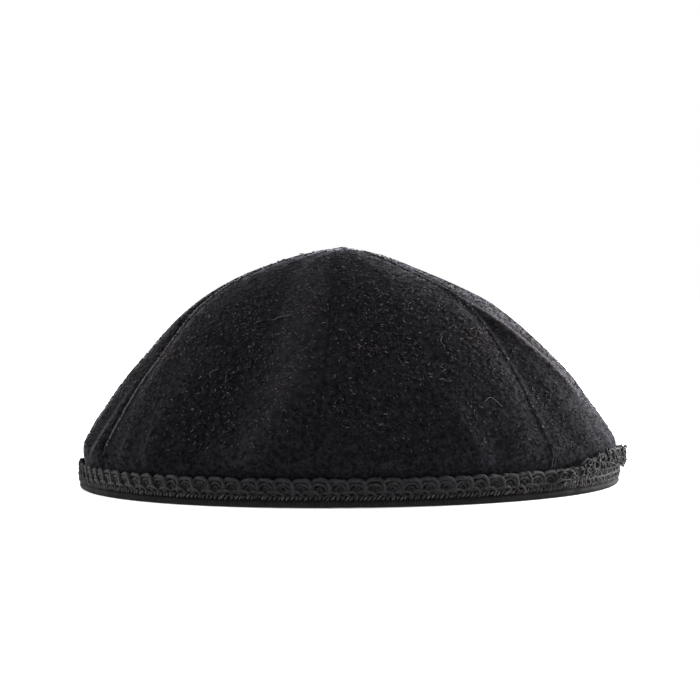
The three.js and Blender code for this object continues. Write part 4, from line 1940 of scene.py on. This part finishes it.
@dataclass
class Studio:
    """The floor, the lights and the camera."""

    axis: Vector
    lamps: tuple[Lamp, ...] = (
        Lamp("light_right", (1.0, 0.45, 0.2), 0.5, 46.0),
        Lamp("light_rim", (0.6, 1.0, 0.35), 0.5, 15.0),
        Lamp("light_left", (-1.0, 0.45, 0.15), 0.5, 12.0),
    )
    lamp_aim: float = 0.04
    camera_from_rim: float = 0.70
    camera_elevation: float = 5.05
    lens: float = 107.2
    sensor: float = 36.0
    aim_right: float = 0.0006
    aim_height: float = 0.0442
    roll: float = -0.54
    clip_start: float = 0.01
    clip_end: float = 100.0
    floor_size: float = 30.0
    floor_shade: float = 0.95
    floor_glow: float = 0.5
    world_strength: float = 1.0

    def build_floor(self) -> bpy.types.Object:
        """Make the plain pale floor.

        Returns:
            The floor.
        """
        bpy.ops.object.select_all(action="DESELECT")
        bpy.ops.mesh.primitive_plane_add(size=self.floor_size, location=(0.0, 0.0, 0.0))
        floor = bpy.context.active_object
        floor.name = "floor"
        recipe = Recipe("white_floor")
        shade = self.floor_shade
        recipe.settle(Base_Color=(shade, shade, shade, 1.0), Roughness=0.9, Specular_IOR_Level=0.1)
        recipe.settle(Emission_Color=(1.0, 1.0, 1.0, 1.0), Emission_Strength=self.floor_glow)
        floor.data.materials.append(recipe.material)
        return floor

    def build_lights(self) -> None:
        """Hang a soft light on each side of the cap, and fill the room with white."""
        world = bpy.context.scene.world or bpy.data.worlds.new("room")
        bpy.context.scene.world = world
        world.use_nodes = True
        backdrop = world.node_tree.nodes["Background"]
        backdrop.inputs["Color"].default_value = (1.0, 1.0, 1.0, 1.0)
        backdrop.inputs["Strength"].default_value = self.world_strength
        for lamp in self.lamps:
            bpy.ops.object.light_add(type="AREA", location=lamp.place)
            light = bpy.context.active_object
            light.name = lamp.name
            light.data.size = lamp.size
            light.data.energy = lamp.energy
            to_cap = Vector((0.0, 0.0, self.lamp_aim)) - light.location
            light.rotation_euler = to_cap.to_track_quat("-Z", "Y").to_euler()

    def build_camera(self) -> bpy.types.Object:
        """Set the camera at the photograph's angle.

        Returns:
            The camera.
        """
        rise = math.radians(self.camera_elevation)
        away = Vector((0.0, -math.cos(rise), math.sin(rise))) * self.camera_from_rim
        bpy.ops.object.camera_add(location=self.axis + away)
        camera = bpy.context.active_object
        camera.name = "camera"
        camera.data.lens = self.lens
        camera.data.sensor_width = self.sensor
        camera.data.clip_start = self.clip_start
        camera.data.clip_end = self.clip_end
        aim = self.axis + Vector((self.aim_right, 0.0, self.aim_height))
        look = (aim - camera.location).to_track_quat("-Z", "Y")
        camera.rotation_mode = "QUATERNION"
        camera.rotation_quaternion = look @ Quaternion((0.0, 0.0, 1.0), math.radians(self.roll))
        bpy.context.scene.camera = camera
        bpy.context.scene.view_settings.view_transform = "Standard"
        return camera


def main() -> None:
    """Build and dress every part of the cap in order, then its picture."""
    logging.basicConfig(level=logging.INFO, format="%(message)s")
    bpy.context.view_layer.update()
    low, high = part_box("rim_binding")
    axis = Vector(((low.x + high.x) / 2.0, (low.y + high.y) / 2.0, 0.0))
    middle = np.array(axis) / MM
    foot_radius = (high.x - low.x) / 2.0 / MM

    studio = Studio(axis=axis)
    studio.build_floor()
    studio.build_lights()
    studio.build_camera()
    log.info("studio: floor, lights and camera")

    velvet = VelvetFinish().material()
    reverse = ReverseFinish().material()
    # The first pile tone is painted shade, and the two palest are crushed pile with painted highlight.
    pile = [FibreFinish("pile_shaded", (0.0022, 0.0020, 0.0028), sheen=0.0).material()]
    for name, colour in (
        ("pile_dark", (0.0034, 0.0032, 0.0042)),
        ("pile_black", (0.0066, 0.0062, 0.0077)),
        ("pile_charcoal", (0.0120, 0.0112, 0.0133)),
        ("pile_grey", (0.021, 0.0198, 0.0224)),
        ("pile_pale_highlight", (0.055, 0.0515, 0.0535)),
        ("worn_edge_highlight", (0.080, 0.072, 0.0725)),
    ):
        pile.append(FibreFinish(name, colour, edge_sheen=VelvetFinish.edge_sheen).material())
    lint_tones = [
        FibreFinish("lint_dark", (0.021, 0.0189, 0.0190)).material(),
        FibreFinish("lint_brown", (0.043, 0.0370, 0.0355)).material(),
        FibreFinish("lint_pale", (0.085, 0.0765, 0.0745)).material(),
    ]
    fluff_tones = [
        FibreFinish("fluff_dark", (0.012, 0.011, 0.011)).material(),
        FibreFinish("fluff_grey", (0.035, 0.032, 0.031)).material(),
    ]
    cords = [
        CordFinish("gimp_cord", (0.0060, 0.0055, 0.0064), (0.028, 0.0262, 0.0288)).material(),
        CordFinish("gimp_core", (0.0048, 0.0044, 0.0052), (0.022, 0.0206, 0.0226)).material(),
    ]
    stitching = [
        CordFinish("stitch_thread", (0.010, 0.0091, 0.0088), (0.050, 0.0455, 0.043), 0.3).material(),
        CordFinish("stitch_thread_pale", (0.018, 0.016, 0.0153), (0.085, 0.077, 0.072), 0.3).material(),
    ]

    crown = Crown()
    nodes = (
        "gore_front_right",
        "gore_right",
        "gore_back_right",
        "gore_back_left",
        "gore_left",
        "gore_front_left",
    )
    for number, node in enumerate(nodes):
        gore = VelvetGore(crown, middle, number, node)
        cloth = gore.build_cloth(velvet, reverse)
        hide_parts(node)
        seat(cloth)
        tufts = gore.build_pile(pile)
        seat(tufts)
        flat, area = gore.flat_size()
        log.info("%s: %d faces of cloth, %d clumps of pile", node, len(cloth.data.polygons), gore.clumps)

    lint = Lint(crown, middle).build(lint_tones)
    seat(lint)
    log.info("velvet_lint: %d faces", len(lint.data.polygons))
    allowances = SeamAllowances(crown, middle).build(reverse)
    seat(allowances)
    log.info("seam_allowances: %d faces", len(allowances.data.polygons))

    wall_radius = foot_radius - Binding.foot_out
    binding = Binding(middle=middle, outside=wall_radius, tall=(high.z - low.z) / MM)
    ribbon = binding.build(RibbonFinish().material())
    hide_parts("rim_binding")
    seat(ribbon)
    binding.flat_size()
    log.info("ribbed_binding: %d faces", len(ribbon.data.polygons))

    braid = Braid(middle=middle, inside=wall_radius + GAP)
    upper = braid.build_strands("braid_scallops", braid.upper, cords, 1)
    lower = braid.build_strands("braid_lower_loops", braid.lower, cords, 2)
    stitches = BraidStitches(braid).build(stitching)
    tangle = LooseEnd(braid).build(cords)
    fibres = Fluff(braid).build(fluff_tones)
    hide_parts("braid")
    for piece in (upper, lower, stitches, tangle, fibres):
        seat(piece)
        log.info("%s: %d faces", piece.name, len(piece.data.polygons))


if __name__ == "__main__":
    main()
